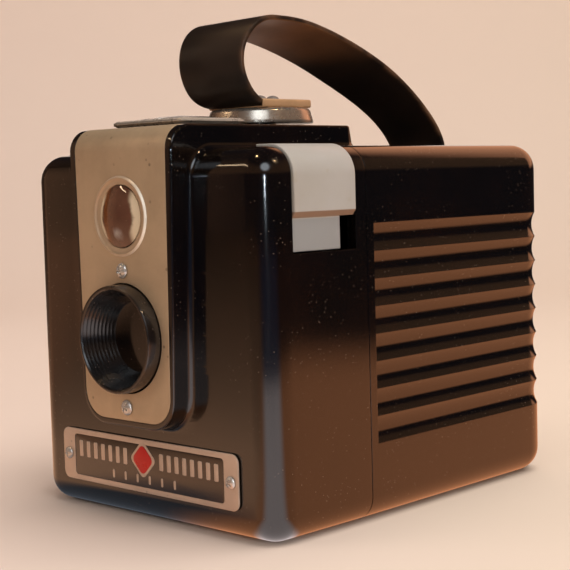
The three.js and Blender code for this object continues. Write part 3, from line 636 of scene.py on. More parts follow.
def red_material(name):
    """Deep red see-through plastic of the frame-number window."""
    n = Nodes(name)
    n.set(Base_Color=n.mix(n.noise(90, 3), (0.30, 0.006, 0.004), (0.18, 0.004, 0.003)), Roughness=0.14,
          Normal=n.bump(n.noise(260, 2), 0.01, 0.2))
    n.set(Coat_Weight=0.6)
    return n.material


def enamel_material(name):
    """Bright red enamel with a faintly uneven surface."""
    n = Nodes(name)
    n.set(Base_Color=n.mix(n.noise(300, 3), (0.62, 0.016, 0.010), (0.48, 0.010, 0.008)),
          Roughness=n.ramp(n.noise(400, 2), (0.3, 0.25), (0.7, 0.4)),
          Normal=n.bump(n.noise(900, 2), 0.008, 0.3))
    return n.material


MOULDED = moulded_material("moulded_body")
BARREL = moulded_material("barrel_black", (0.0034, 0.0036, 0.0042), 2.2, 0.13)
BEAD = bead_material("bead_metal")
FACE = satin_metal_material("face_metal", (0.59, 0.425, 0.27), 0.42, 0.35)
CLIP = satin_metal_material("clip_metal", (0.80, 0.48, 0.26), 0.33, 0.4, (1, 1, 1), 0.35)
DISC = satin_metal_material("latch_metal", (0.80, 0.72, 0.62), 0.24, 0.9, (1, 1, 1), 0.15)
STEEL = satin_metal_material("works_steel", (0.45, 0.44, 0.42), 0.30, 1.0)
NICKEL = polished_material("nickel")
IVORY = ivory_material("ivory_plastic")
GLASS = glass_material("clear_glass")
LENS = lens_material("lens_glass")
LEATHER = leather_material("strap_leather")
WORKS = painted_works_material("works_black")
MIRROR = polished_material("mirror_glass", (0.85, 0.86, 0.86), 0.03, 1.0)
RED = red_material("red_window")
PLATE = satin_metal_material("plate_metal", (0.72, 0.54, 0.42), 0.38, 0.35)
FRAME_METAL = satin_metal_material("frame_metal", (0.72, 0.60, 0.50), 0.28, 0.4)
ENAMEL = moulded_material("plate_enamel", (0.012, 0.008, 0.006), 0.3)
RED_ENAMEL = enamel_material("red_enamel")


def finish_piece(obj, body, nodes, material):
    """Gives a piece its material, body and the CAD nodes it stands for."""
    obj.data.materials.clear()
    obj.data.materials.append(material)
    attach(obj, body)
    if nodes:
        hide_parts(*nodes)


# ---------- stage ----------
TO_CAMERA = (0.69, -0.72, 0)
FRONT_LEFT = (-0.69, -0.72, 0)


def floor_material():
    """Pale paper, painted lighter to the front left and darker to the back right. Glossy rays see it as a
    painted reflection of a lamp-lit table: warm, neutral near the camera, dark further off.
    """
    n = Nodes("studio_floor")
    # Painted light: the paper is lighter towards the front left and darker towards the back right.
    painted_light_tone = n.mix(n.towards((0.72, 0.69, 0), -0.6, 0.9), (0.88, 0.72, 0.635), (0.83, 0.69, 0.575))
    n.set(Base_Color=n.mix(n.noise(3, 2), painted_light_tone, n.mix(0.04, painted_light_tone, (0.3, 0.2, 0.15))), Roughness=0.8)
    n.set(Specular_IOR_Level=0.1)
    # From here on, an emission that only glossy rays see: a painted reflection of the table, the wall and the
    # room.
    far, height = n.distance(), n.part(2)
    dark = (0.015, 0.011, 0.012)
    warm = n.mix(n.steps(far, 0.24, 0.42), (0.78, 0.31, 0.14), dark)
    neutral = n.mix(n.steps(far, 0.26, 0.35), (0.92, 0.78, 0.76), (0.015, 0.035, 0.075))
    falling = n.math("MINIMUM", n.math("DIVIDE", 0.118, n.math("MAXIMUM", far, 0.02)), 0.85)
    fading = n.add("ShaderNodeVectorMath", operation="SCALE")
    fading.inputs[0].default_value = (0.85, 0.46, 0.27)
    n.put(fading.inputs["Scale"], falling)
    # Painted shade in the reflection: close to the object the table goes dark and bluish, as in its shadow.
    left = n.mix(n.steps(far, 0.085, 0.066), fading.outputs[0], (0.09, 0.10, 0.12))
    side = n.times(n.towards((-0.865, -0.5, 0), 0.972, 0.993), n.steps(far, 0.12, 0.35))
    left = n.mix(side, left, (0.42, 0.19, 0.10))
    seen = n.mix(n.towards(TO_CAMERA, 0.74, 0.95, (0.030, -0.042, 0)), warm, neutral)
    seen = n.mix(n.towards(FRONT_LEFT, 0.30, 0.75), seen, left)
    wall = n.times(n.steps(height, 0.10, 0.30), n.steps(height, 1.55, 0.90))
    wall = n.times(wall, n.steps(n.part(0), -0.65, -0.42))
    seen = n.mix(wall, seen, (0.92, 0.40, 0.21))
    seen = n.mix(n.towards((-0.69, 0.72, 0.10), 0.90, 0.97), seen, (0.80, 0.64, 0.54))
    glow = n.add("ShaderNodeEmission")
    n.put(glow.inputs["Color"], seen)
    blend = n.add("ShaderNodeMixShader")
    n.put(blend.inputs[0], n.ray("Is Glossy Ray"))
    n.tree.links.new(n.shader.outputs[0], blend.inputs[1])
    n.tree.links.new(glow.outputs[0], blend.inputs[2])
    n.tree.links.new(blend.outputs[0], n.output.inputs[0])
    return n.material


def stage_set():
    """Pale floor that curves up into a backdrop behind the object."""
    away = Vector((-0.693, 0.721, 0)).normalized()
    across = Vector((away.y, -away.x, 0))
    near, far, half, rise, bend = -1.2, 0.9, 1.8, 1.6, 0.35
    path = [(near, 0.0), (far - bend, 0.0)]
    path += arc(far - bend, bend, bend, -90, 0, 13)[1:] + [(far, rise)]
    verts = []
    for d, z in path:
        for side in (-half, half):
            p = away * d + across * side
            verts.append((p.x, p.y, z - 0.0002))
    faces = [(2 * i, 2 * i + 1, 2 * i + 3, 2 * i + 2) for i in range(len(path) - 1)]
    mesh = bpy.data.meshes.new("studio_floor")
    mesh.from_pydata(verts, [], faces)
    mesh.shade_smooth()
    floor = bpy.data.objects.new("studio_floor", mesh)
    bpy.context.scene.collection.objects.link(floor)
    floor.data.materials.append(floor_material())


def area_light(name, position, target, size, power, colour, glint=False):
    """A rectangular lamp aimed at a point. It lights surfaces, or as a glint is only seen mirrored."""
    lamp = bpy.data.lights.new(name, "AREA")
    lamp.shape = "RECTANGLE"
    lamp.size, lamp.size_y = size
    lamp.energy = power
    lamp.color = colour
    obj = bpy.data.objects.new(name, lamp)
    obj.location = position
    direction = Vector(target) - Vector(position)
    obj.rotation_euler = direction.to_track_quat("-Z", "Y").to_euler()
    obj.visible_glossy = glint
    obj.visible_diffuse = not glint
    obj.visible_camera = False
    bpy.context.scene.collection.objects.link(obj)


def lights():
    """Soft warm light from above and behind, room lamps as glints, and a room that is dark in mirrors."""
    centre = (0, 0, 0.05)
    area_light("overhead", (0.32, 0.18, 1.0), centre, (1.1, 1.1), 11.5, (1.0, 0.94, 0.88))
    area_light("left_front", (-0.7, -0.9, 0.55), centre, (0.6, 0.6), 2.6, (1.0, 0.91, 0.82))
    area_light("right_fill", (0.9, -0.35, 0.35), centre, (0.5, 0.5), 3.0, (1.0, 0.97, 0.94))
    corner = Vector((0.038, -0.052, 0.084))
    for name, direction, reach, size, power, colour in [
            ("room_lamp_front", (-0.269, -0.248, 0.931), 0.9, (0.05, 0.05), 0.55, (1.0, 0.62, 0.30)),
            ("room_lamp_rear", (0.602, 0.113, 0.790), 0.9, (0.05, 0.05), 0.55, (1.0, 0.66, 0.36)),
            ("room_strip", (-0.633, -0.584, 0.508), 0.91, (0.33, 0.015), 0.19, (1.0, 0.72, 0.46)),
            ("flash", (0.649, -0.761, 0.010), 0.31, (0.003, 0.003), 0.05, (0.78, 0.90, 1.0))]:
        area_light(name, corner + Vector(direction) * reach, corner, size, power, colour, glint=True)
    world = bpy.data.worlds.new("studio_air")
    bpy.context.scene.world = world
    n = Nodes(world=world)
    dark, height = (0.010, 0.010, 0.014), n.part(2)
    band = n.times(n.steps(height, 0.10, 0.24), n.steps(height, 0.75, 0.50))
    dark = n.mix(band, dark, (0.12, 0.064, 0.036))
    dark = n.mix(n.towards((0.56, -0.60, 0.57), 0.945, 0.985), dark, (1.7, 1.82, 1.95))
    mirrored = n.mix(n.towards((-0.96, -0.30, 0.05), 0.86, 0.97), dark, (0.30, 0.155, 0.085))
    plain = n.mix(n.ray("Is Camera Ray"), (0.19, 0.165, 0.145), (0.80, 0.59, 0.485))
    n.put(n.shader.inputs["Color"], n.mix(n.ray("Is Glossy Ray"), plain, mirrored))


def camera_view():
    """A view on the right front edge through a long lens, a third of a metre away and slightly from above."""
    azimuth, elevation, roll = (math.radians(a) for a in (43.851, 4.405, -1.613))
    target = Vector((-5.865, 0.0, 51.914)) * MM
    distance = 365.37 * MM
    back = Vector((math.sin(azimuth) * math.cos(elevation), -math.cos(azimuth) * math.cos(elevation),
                   math.sin(elevation)))
    right = (-back).cross(Vector((0, 0, 1))).normalized()
    up = right.cross(-back)
    turned_right = right * math.cos(roll) + up * math.sin(roll)
    turned_up = up * math.cos(roll) - right * math.sin(roll)
    data = bpy.data.cameras.new("view")
    data.sensor_width = 36.0
    data.lens = 87.16
    data.clip_start = 0.01
    camera = bpy.data.objects.new("view", data)
    basis = Matrix((turned_right, turned_up, back)).transposed().to_4x4()
    camera.matrix_world = Matrix.Translation(target + back * distance) @ basis
    bpy.context.scene.collection.objects.link(camera)
    bpy.context.scene.camera = camera
    bpy.context.scene.view_settings.view_transform = "Standard"


stage_set()
lights()
camera_view()


# ---------- body shells ----------
def body_plan():
    """Right half of the body's plan, from front centre to back centre, mirrored into a closed line."""
    front = [(x, FRONT_Y) for x in np.linspace(0, SIDE_X - FRONT_CORNER, 5)[:-1]]
    side = [(SIDE_X, y) for y in np.linspace(FRONT_Y + FRONT_CORNER, FLUTE_START - 0.02, 8)[1:]]
    side += [(SIDE_X, y) for y in np.linspace(FLUTE_START + 0.02, BACK_Y - BACK_CORNER, 12)[:-1]]
    back = [(x, BACK_Y) for x in np.linspace(SIDE_X - BACK_CORNER, 0, 5)[1:]]
    points = (front + arc(SIDE_X - FRONT_CORNER, FRONT_Y + FRONT_CORNER, FRONT_CORNER, -90, 0, 11)
              + side + arc(SIDE_X - BACK_CORNER, BACK_Y - BACK_CORNER, BACK_CORNER, 0, 90, 11) + back)
    normals = ([(0, -1)] * len(front) + arc(0, 0, 1, -90, 0, 11)
               + [(1, 0)] * len(side) + arc(0, 0, 1, 0, 90, 11) + [(0, 1)] * len(back))
    return [np.vstack([half, (half * [-1, 1])[-2:0:-1]]) for half in (np.array(points), np.array(normals))]


PLAN, PLAN_NORMALS = body_plan()
FLUTED = PLAN[:, 1] > FLUTE_START


def drafted(points):
    """The sides lean in away from the seam, as they do to leave a mould."""
    points = np.array(points, float)
    points[:, 0] *= 1 - DRAFT * np.abs(points[:, 1] - SEAM_Y) / SIDE_X
    return points


def body_ring(inset, z, flute=0.0):
    """The body's plan at a level, moved in by an inset, and by the flute's depth where there are flutes."""
    plan = PLAN - PLAN_NORMALS * (inset + flute * FLUTED)[:, None]
    return drafted(np.column_stack([plan, np.full(len(plan), z)]))


def flute_rings(steps=12):
    """Rings up the row of shallow round-bottomed flutes."""
    half = FLUTE_PITCH / 2
    radius = (half * half + FLUTE_DEPTH * FLUTE_DEPTH) / (2 * FLUTE_DEPTH)
    rings = []
    for i in range(FLUTES * steps + 1):
        across = ((i % steps) / steps * 2 - 1) * half
        depth = math.sqrt(radius * radius - across * across) - radius + FLUTE_DEPTH
        rings.append(body_ring(0, FLUTE_LOW + i * FLUTE_PITCH / steps, depth))
    return rings


def body_block(name, inset, flutes):
    """The body's rounded block, moved in by an inset."""
    rings = [body_ring(inset + i, inset + rise) for i, rise in quarter(BOTTOM_RIM - inset)]
    rings += flutes
    rings += [body_ring(inset + i, TOP_Z - inset - rise) for i, rise in reversed(quarter(TOP_RIM - inset))]
    return loft(name, rings)


def wrap(s, front, top, radius, start, end):
    """Side view of a surface that runs up a front, round a nose and back along a top: y and z at run s."""
    angle = np.clip((s - start) / (end - start), 0, 1) * math.pi / 2
    y = front + radius * (1 - np.cos(angle)) + np.maximum(s - end, 0)
    z = np.minimum(s, start) + radius * np.sin(angle) + (top - radius - start)
    return y, z


def housing_half(half_at_lens, spread, bottom, corner, end, end_corner):
    """Right edge of the housing, unfolded to (x, run), with outward normals, from bottom to rear end."""
    def half(s):
        return half_at_lens + spread * (np.minimum(s, HOUSING_TOP) - LENS_Z)

    low, high = bottom + corner, end - end_corner
    points = arc(half(low) - corner, low, corner, -90, 0, 11)
    normals = arc(0, 0, 1, -90, 0, 11)
    runs = np.concatenate([np.linspace(low, FOOT_START, 8)[1:-1],
                           np.linspace(FOOT_START, min(FOOT_END, high), 25),
                           np.linspace(FOOT_END, high, 9)[1:-1]])
    runs = runs[runs < high - 0.01]
    points += [(half(s), s) for s in runs] + arc(half(end) - end_corner, high, end_corner, 0, 90, 7)
    normals += [(1, -spread)] * len(runs) + arc(0, 0, 1, 0, 90, 7)
    return np.array(points), np.array(normals)


def mirrored_ring(x, y, z):
    """A closed ring from its right half."""
    right = np.column_stack([x, y, z])
    return np.vstack([right, (right * [-1, 1, 1])[::-1]])




def housing_ring(edge, outward, from_top=None, from_foot=None):
    """The housing's edge at a depth below its face, or at a height above the body, moved outwards."""
    points, normals = edge
    x, s = (points + normals * outward).T
    oy, oz = wrap(s, HOUSING_Y, HOUSING_TOP, HOUSING_NOSE, NOSE_START, NOSE_END)
    fy, fz = wrap(s, FRONT_Y, TOP_Z, TOP_RIM, FOOT_START, FOOT_END)
    length = np.hypot(fy - oy, fz - oz)
    part = from_top / length if from_top is not None else 1 - from_foot / length
    lean = HOUSING_LEAN * part * np.maximum(normals[:, 1], 0)
    return mirrored_ring(x, oy + (fy - oy) * part + lean, oz + (fz - oz) * part)


def housing_block():
    """Raised housing of lens and finder: rounded face edge, concave flare where it meets the body."""
    edge = housing_half(*HOUSING_EDGE)
    face_round, flare = 0.5, 1.5
    rings = [housing_ring(edge, -inset, from_top=depth) for inset, depth in quarter(face_round, 5)]
    rings += [housing_ring(edge, out, from_foot=height - 0.03) for height, out in quarter(flare, 8)]
    rings.append(housing_ring(edge, flare, from_foot=-1.2))
    return loft("housing", rings, strips=True)


def housing_hollow():
    """Space inside the housing, open to the body."""
    edge = housing_half(*HOUSING_EDGE)
    wall = 2.2
    rings = [housing_ring(edge, -wall, from_top=wall), housing_ring(edge, -wall, from_foot=-4.0)]
    return loft("housing_hollow", rings, strips=True)


def rod(axis, radius, low, high, centre, segments=48):
    """A plain round cutter or peg along an axis."""
    return slab("rod", circle(radius, segments) + in_plane(axis, centre), axis, low, high)


def in_plane(axis, point):
    """The two coordinates of a point that lie across an axis."""
    f = AXIS_FRAME[axis]
    return np.array([f[0] @ np.array(point, float), f[1] @ np.array(point, float)])


def lever_opening(sign, low, high, bottom):
    """Opening in a side and the top edge for a control."""
    inner, outer = sign * (SIDE_X - 11.5), sign * (SIDE_X + 5)
    return box_mm("opening", (min(inner, outer), low[1] - SEAM_GAP, bottom),
                  (max(inner, outer), high[1] + SEAM_GAP, TOP_Z + 6))


def body_shells():
    """The moulded front body and rear cover, cut from one hollow block at the seam."""
    shell = body_block("front_moulding", 0, flute_rings())
    boolean(shell, [housing_block()], "UNION")
    boolean(shell, [body_block("hollow", WALL, []), housing_hollow()], "DIFFERENCE")
    rear = shell.copy()
    rear.data = shell.data.copy()
    rear.name = "rear_moulding"
    bpy.context.scene.collection.objects.link(rear)
    half = SEAM_GAP / 2
    boolean(shell, [box_mm("rear_side", (-FAR, SEAM_Y - half, -FAR), (FAR, FAR, FAR))], "DIFFERENCE")
    boolean(rear, [box_mm("front_side", (-FAR, -FAR, -FAR), (FAR, SEAM_Y + half, FAR))], "DIFFERENCE")
    pegs = [rod("y", 2.2, FRONT_Y + WALL - 0.5, low_mm("shutter_board")[1] - SEAM_GAP, (x, 0, z), 24)
            for x in (-26, 26) for z in (36.5, 57.5)]
    pegs.append(rod("z", 1.6, 86.4, HOUSING_TOP - 1, (0, -28.2, 0), 24))
    boolean(shell, pegs, "UNION")
    cuts = [
        panel_seat(),
        rod("y", LENS_HOLE, HOUSING_Y - 2, HOUSING_Y + 4, (0, 0, LENS_Z), 128),
        rod("y", FINDER_HOLE, HOUSING_Y - 2, HOUSING_Y + 4, (0, 0, FINDER_Z), 96),
        box_mm("finder_window", (-10.6, FRONT_Y + 3.2, HOUSING_TOP - 4), (10.6, -33, HOUSING_TOP + 2)),
        lever_opening(1, LEVER_LOW, LEVER_HIGH, LEVER_LOW[2] - SEAM_GAP),
        lever_opening(-1, RELEASE_LOW, RELEASE_HIGH, LEVER_LOW[2] - SEAM_GAP),
        rod("x", 4.4, -SIDE_X - 1, -SIDE_X + 4, (0, KNOB_Y, KNOB_Z)),
    ]
    for centre in SCREWS.values():
        cuts.append(rod("y", SCREW_HOLE, centre[1] - 2, centre[1] + 3, centre, 24))
    boolean(shell, cuts, "DIFFERENCE")
    boolean(rear, [
        rod("z", 3.3, TOP_Z, HOUSING_TOP + 2, (0, LATCH_Y, 0)),
        rod("y", 6.5, BACK_Y - WALL - 2, BACK_Y + 2, (0, 0, LENS_Z), 96),
        rod("y", 7.8, BACK_Y - WALL - 2, BACK_Y - WALL + 0.9, (0, 0, LENS_Z), 96),
        box_mm("strap_slot", (-9.75, SLOT_Y - 1.1, 80), (9.75, SLOT_Y + 1.1, 90)),
    ], "DIFFERENCE")
    for piece in (shell, rear):
        tidy(piece, SHELL_CREASE)
        flatten_shading(piece)
    finish_piece(shell, "front_body", ["front_shell"], MOULDED)
    finish_piece(rear, "rear_cover", ["rear_shell"], MOULDED)


# ---------- panel, plate and screws ----------
def panel_loft(name, steps):
    """The facing's outline wrapped over the nose, at pairs of inset and height above the housing."""
    end = NOSE_END + low_mm("finder_top_frame")[1] - SEAM_GAP - (HOUSING_Y + HOUSING_NOSE)
    points, normals = housing_half(15.3, 0.017, 25.0, 6.5, end, 1.0)
    rings = []
    for inset, height in steps:
        x, s = (points - normals * inset).T
        y, z = wrap(s, HOUSING_Y - height, HOUSING_TOP + height, HOUSING_NOSE + height, NOSE_START, NOSE_END)
        rings.append(mirrored_ring(x, y, z))
    return loft(name, rings, strips=True)


def panel_seat():
    """Shallow recess of the housing that the facing lies in."""
    return panel_loft("panel_seat", [(-0.06, 2.0), (-0.06, PANEL_PROUD - PANEL_SHEET - 0.04)])


def face_panel():
    """Sheet-metal facing that bends over the nose, with holes for the lens, the finder and two screws."""
    steps = [(i, PANEL_PROUD - d) for i, d in quarter(0.18, 4)] + [(0, PANEL_PROUD - PANEL_SHEET)]
    panel = panel_loft("facing_sheet", steps)
    cuts = [rod("y", LENS_HOLE, PANEL_Y - 2, PANEL_Y + 3, (0, 0, LENS_Z), 128),
            rod("y", FINDER_HOLE + 0.3, PANEL_Y - 2, PANEL_Y + 3, (0, 0, FINDER_Z), 96)]
    for name in PANEL_SCREWS:
        cuts.append(rod("y", SCREW_HOLE, PANEL_Y - 2, PANEL_Y + 3, SCREWS[name], 24))
    boolean(panel, cuts, "DIFFERENCE")
    finish_piece(panel, "front_body", ["face_panel"], FACE)


def name_plate():
    """Plate with a satin border, a sunken dark field, a red lozenge and rows of plain raised ticks."""
    low, high = low_mm("nameplate"), high_mm("nameplate")
    face, back = low[1], high[1]
    plate = slab("plate_border", rectangle(low[0], low[2], high[0], high[2], 2.0), "y", face, back, 0.15)
    margin_x, margin_z, sunk = 4.5, 1.3, 0.2
    field = (low[0] + margin_x, low[2] + margin_z, high[0] - margin_x, high[2] - margin_z)
    pocket = slab("pocket", rectangle(*field, 0.9), "y", face - 1, face + sunk)
    holes = [rod("y", 1.0, face - 1, back + 1, SCREWS[n], 24) for n in PLATE_SCREWS]
    boolean(plate, [pocket] + holes, "DIFFERENCE")
    finish_piece(plate, "front_body", ["nameplate"], PLATE)
    x0, z0, x1, z1 = field
    enamel = slab("plate_field", rectangle(x0 + 0.03, z0 + 0.03, x1 - 0.03, z1 - 0.03, 0.9), "y",
                  face + sunk - 0.12, face + sunk + 0.05, 0.03)
    finish_piece(enamel, "front_body", [], ENAMEL)
    ticks = []
    rows = [(-24.2, -7.4, 13.0, 4.0, 7), (5.6, 24.2, 13.0, 4.0, 8), (-11.9, 10.1, 9.2, 2.1, 6)]
    for start, stop, base, height, count in rows:
        for x in np.linspace(start, stop, count):
            wide = 0.17 * height
            outline = rectangle(x - wide, base, x + wide, base + height, 0.3, 4)
            ticks.append(slab("tick", outline, "y", face + 0.02, face + sunk, 0.06, 2))
    bars = join(ticks, "plate_ticks")
    finish_piece(bars, "front_body", [], PLATE)
    centre = (-0.9, (z0 + z1) / 2 + 1.5)
    for name, reach, high_face, deep, material, slot in [
            ("plate_lozenge_rim", 4.7, face - 0.03, face + sunk, PLATE, "plate_metal"),
            ("plate_lozenge", 3.8, face - 0.15, face - 0.01, RED_ENAMEL, "red_window")]:
        corners = [(centre[0] + reach * dx, centre[1] + reach * dz)
                   for dx, dz in ((0, -1), (1, 0), (0, 1), (-1, 0))]
        lozenge = slab(name, rounded_line(corners, 1.3, 8), "y", high_face, deep, 0.06, 3)
        finish_piece(lozenge, "front_body", [], material)


def join(objects, name):
    """Several meshes as one piece."""
    bm = bmesh.new()
    for obj in objects:
        bm.from_mesh(obj.data)
    mesh = objects[0].data
    bm.to_mesh(mesh)
    bm.free()
    objects[0].name = name
    for obj in objects[1:]:
        bpy.data.objects.remove(obj)
    tidy(objects[0])
    return objects[0]


def cross_screws():
    """Domed screws with a cross recess."""
    for turn, (name, centre) in enumerate(SCREWS.items()):
        low, high = low_mm(name), high_mm(name)
        radius = (high[0] - low[0]) / 2
        dome = radius * 0.5
        seat = low[1] + radius * 0.45
        profile = [(0.0, seat - dome)]
        for a in np.radians(np.linspace(0, 78, 9)[1:]):
            profile.append((radius * math.sin(a) / math.sin(math.radians(78)),
                            seat - dome * (math.cos(a) - 0.2) / 0.8))
        profile += [(radius, seat), (radius * 0.45, seat), (radius * 0.45, seat + 2.0), (0.0, seat + 2.0)]
        screw = spin("head_" + name, profile, "y", (centre[0], 0, centre[2]), 48)
        slot, half = radius * 0.58, radius * 0.13
        bars = []
        for k in range(2):
            angle = math.radians(25 + 37 * turn + 90 * k)
            u, v = np.array([math.cos(angle), math.sin(angle)]), np.array([-math.sin(angle), math.cos(angle)])
            middle = np.array([centre[0], centre[2]])
            corners = [middle + u * slot * a + v * half * b for a, b in ((-1, -1), (1, -1), (1, 1), (-1, 1))]
            bars.append(slab("slot", corners, "y", seat - dome - 1, seat - dome * 0.35))
        boolean(screw, bars, "DIFFERENCE")
        finish_piece(screw, "front_body", [name], NICKEL)


# ---------- lens and finder ----------
def lens_funnel():
    """Black lens barrel: plain outside wall, rounded lip and a ridged funnel down to the lens seat."""
    front, back = low_mm("lens_barrel")[1], high_mm("lens_barrel")[1]
    outer = 12.56
    profile = [(outer, front + 0.45), (outer - 0.12, front + 0.14), (outer - 0.4, front),
               (outer - 0.75, front + 0.02), (outer - 0.95, front + 0.25)]
    ridges, mouth, throat, depth = 10, outer - 1.05, 7.9, 8.3
    step = (mouth - throat) / ridges
    for k in range(ridges):
        r = mouth - k * step
        y = front + 0.35 + depth * k / ridges
        rise = depth / ridges
        profile += [(r, y), (r - step * 0.35, y + rise * 0.52), (r - step * 0.8, y + rise * 0.76)]
    seat, flange, flange_y = 7.0, 13.2, HOUSING_Y + 2.5
    profile += [(throat, front + depth + 0.35), (throat - 0.25, front + 9.3), (seat, front + 9.75),
                (seat, back), (flange, back), (flange, flange_y), (outer, flange_y)]
    barrel = spin("lens_funnel", profile, "y", (0, 0, LENS_Z), 144, crease=28)
    finish_piece(barrel, "front_body", ["lens_barrel"], BARREL)


def domed_glass(name, node, radius, face, crown, thick, centre_z):
    """A round lens with a crowned front."""
    profile = [(0.0, face - crown)]
    profile += [(radius * t, face - crown * (1 - t * t)) for t in np.linspace(0, 1, 13)[1:]]
    profile += [(radius, face + thick), (0.0, face + thick)]
    glass = spin(name, profile, "y", (0, 0, centre_z), 96)
    finish_piece(glass, "front_body", [node], LENS)


def finder_bead():
    """Raised ring pressed round the finder's lens."""
    base, crest = PANEL_Y - 0.02, PANEL_Y - 0.6
    profile = [(9.3, base), (9.15, base - 0.1), (9.0, crest + 0.1), (8.85, crest), (8.7, crest + 0.02),
               (8.55, crest + 0.14), (8.4, base - 0.14), (8.1, base - 0.05), (7.6, base - 0.05),
               (7.3, base + 0.1),
               (7.2, base + 0.5), (7.2, base + 0.9), (7.6, base + 0.9), (7.6, base + 0.05)]
    ring = spin("finder_ring", profile, "y", (0, 0, FINDER_Z), 128, crease=50)
    finish_piece(ring, "front_body", ["finder_bead"], BEAD)


def finder_top():
    """Pressed frame round the finder's upper window, and the crowned glass in it."""
    low, high = low_mm("finder_top_frame"), high_mm("finder_top_frame")
    frame_piece = slab("finder_window_frame", rectangle(low[0], low[1], high[0], high[1], 2.2), "z",
                       low[2], high[2], 1.1, 6)
    border = 2.8
    outline = rectangle(-10, low[1] + border, 10, high[1] - border, 1.5)
    window = slab("window", outline, "z", low[2] - 1, high[2] + 1)
    boolean(frame_piece, [window], "DIFFERENCE")
    finish_piece(frame_piece, "front_body", ["finder_top_frame"], FRAME_METAL)
    glow, ghigh = low_mm("finder_top_lens"), high_mm("finder_top_lens")
    outline = rectangle(glow[0], glow[1], ghigh[0], ghigh[1], 1.3, 6)
    centre = outline.mean(0)
    rings = []
    edge, crown = high[2] - 0.75, 1.7
    for scale, z in [(0.3, glow[2]), (1.0, glow[2])] + [(math.cos(a), edge + crown * math.sin(a))
                                                       for a in np.radians(np.linspace(0, 84, 10))]:
        pts = centre + (outline - centre) * scale
        rings.append(along("z", pts[:, 0], pts[:, 1], z))
    glass = loft("finder_window_glass", rings)
    finish_piece(glass, "front_body", ["finder_top_lens"], GLASS)


# ---------- side controls ----------
def side_control(name, node, body, sign, tongue_back):
    """Lever or release: a skin that laps over the top edge, a thin step under it and a thinner tongue."""
    low, high = low_mm(node), high_mm(node)
    face = high[0] if sign > 0 else -low[0]
    front, back, tip, top = low[1], high[1], low[2], high[2]
    thick, bend, lap, step_z = 1.7, 7.2, SIDE_X - 10.8, 72.65
    centre = face - bend, top - bend
    outline = [(face - 0.9, step_z - 1.2), (face, step_z), *arc(*centre, bend, 0, 90, 13), (lap, top),
               (lap, top - thick), *arc(*centre, bend - thick, 90, 0, 11)]
    outline.append((face - thick, step_z - 1.2))
    cap = slab(name, outline, "y", front, back, 0.25, 4)
    tongue = slab("tongue", rectangle(face - thick + 0.1, tip, face - 0.95, step_z, 0.25), "y",
                  front + 0.05, tongue_back, 0.25, 3)
    boolean(cap, [tongue], "UNION")
    mesh = cap.data
    points = np.empty(len(mesh.vertices) * 3)
    mesh.vertices.foreach_get("co", points)
    points = drafted(points.reshape(-1, 3) / MM)
    points[:, 0] *= sign
    mesh.vertices.foreach_set("co", (points * MM).ravel())
    tidy(cap)
    finish_piece(cap, body, [node], IVORY)


# ---------- latch, clip and strap ----------
def latch_top():
    """Polished latch disc, folded strap clip and two rivets."""
    low, high = low_mm("latch_disc"), high_mm("latch_disc")
    radius, top = (high[0] - low[0]) / 2, high[2]
    base, collar, stem = HOUSING_TOP + 0.9, 4.0, 2.8
    profile = [(0.0, top), (11.5, top), (11.9, top - 0.05), (12.3, top - 0.22), (12.6, top - 0.5),
               (12.75, top - 0.9), (radius - 0.1, base + 0.9), (radius, base + 0.4),
               (radius - 0.1, base + 0.1), (radius - 0.4, base), (collar, base),
               (collar, HOUSING_TOP + SEAM_GAP), (stem, HOUSING_TOP + SEAM_GAP), (stem, low[2]),
               (0.0, low[2])]
    disc = spin("latch_button", profile, "z", (0, LATCH_Y, 0), 144, crease=30)
    finish_piece(disc, "latch", ["latch_disc"], DISC)
    low, high = low_mm("strap_clip"), high_mm("strap_clip")
    floor, roof, mouth = top + 0.05, top + 2.1, low[1] + 2.0
    clip = slab("clip_channel", rectangle(low[0], floor, high[0], roof, 0.5, 4), "y", mouth, high[1], 0.25, 3)
    space = box_mm("mouth", (low[0] + 0.5, mouth - 1, floor + 0.3),
                   (high[0] - 0.5, high[1] - 0.8, roof - 0.35))
    boolean(clip, [space], "DIFFERENCE")
    finish_piece(clip, "latch", ["strap_clip"], CLIP)
    for node in ("clip_rivet_front", "clip_rivet_rear"):
        size, rise = (high_mm(node)[0] - low_mm(node)[0]) / 2, 1.5
        profile = [(0.0, roof + rise)]
        for a in np.radians(np.linspace(0, 86, 9)[1:]):
            profile.append((size * math.sin(a), roof + rise * math.cos(a) ** 0.8))
        profile += [(size, roof - 0.2), (0.0, roof - 0.2)]
        rivet = spin("head_" + node, profile, "z", (0, middle_mm(node)[1], 0), 40)
        finish_piece(rivet, "latch", [node], NICKEL)


def strap_line(count):
    """Even (y, z, run) points of the strap in side view, round its bend and over to the slot."""
    bend = arc(STRAP_BEND_Y, STRAP_FLOOR + STRAP_BEND, STRAP_BEND, 270, 90, 73)
    crest = np.array(bend[-1])
    entry = np.array([SLOT_Y, STRAP_ENTRY])
    t = np.linspace(0, 1, 121)[1:, None]
    fall = ((1 - t) ** 3 * crest + 3 * (1 - t) ** 2 * t * (crest + [STRAP_REACH, 0])
            + 3 * (1 - t) * t ** 2 * (entry + [0, STRAP_DROP]) + t ** 3 * entry)
    points = np.vstack([[(STRAP_START, STRAP_FLOOR)], bend, fall, [(SLOT_Y, STRAP_END)]])
    run = np.concatenate([[0], np.cumsum(np.hypot(*np.diff(points, axis=0).T))])
    even = np.linspace(0, run[-1], count)
    return np.column_stack([np.interp(even, run, points[:, 0]), np.interp(even, run, points[:, 1]), even])


def fade(run, start, end):
    """0 before start, 1 after end, smooth between."""
    t = np.clip((run - start) / (end - start), 0, 1)
    return t * t * (3 - 2 * t)


def swell(run, start, full, falling, end):
    """0 up to a start, 1 from full to falling, 0 after the end, smooth between."""
    return fade(run, start, full) * (1 - fade(run, falling, end))


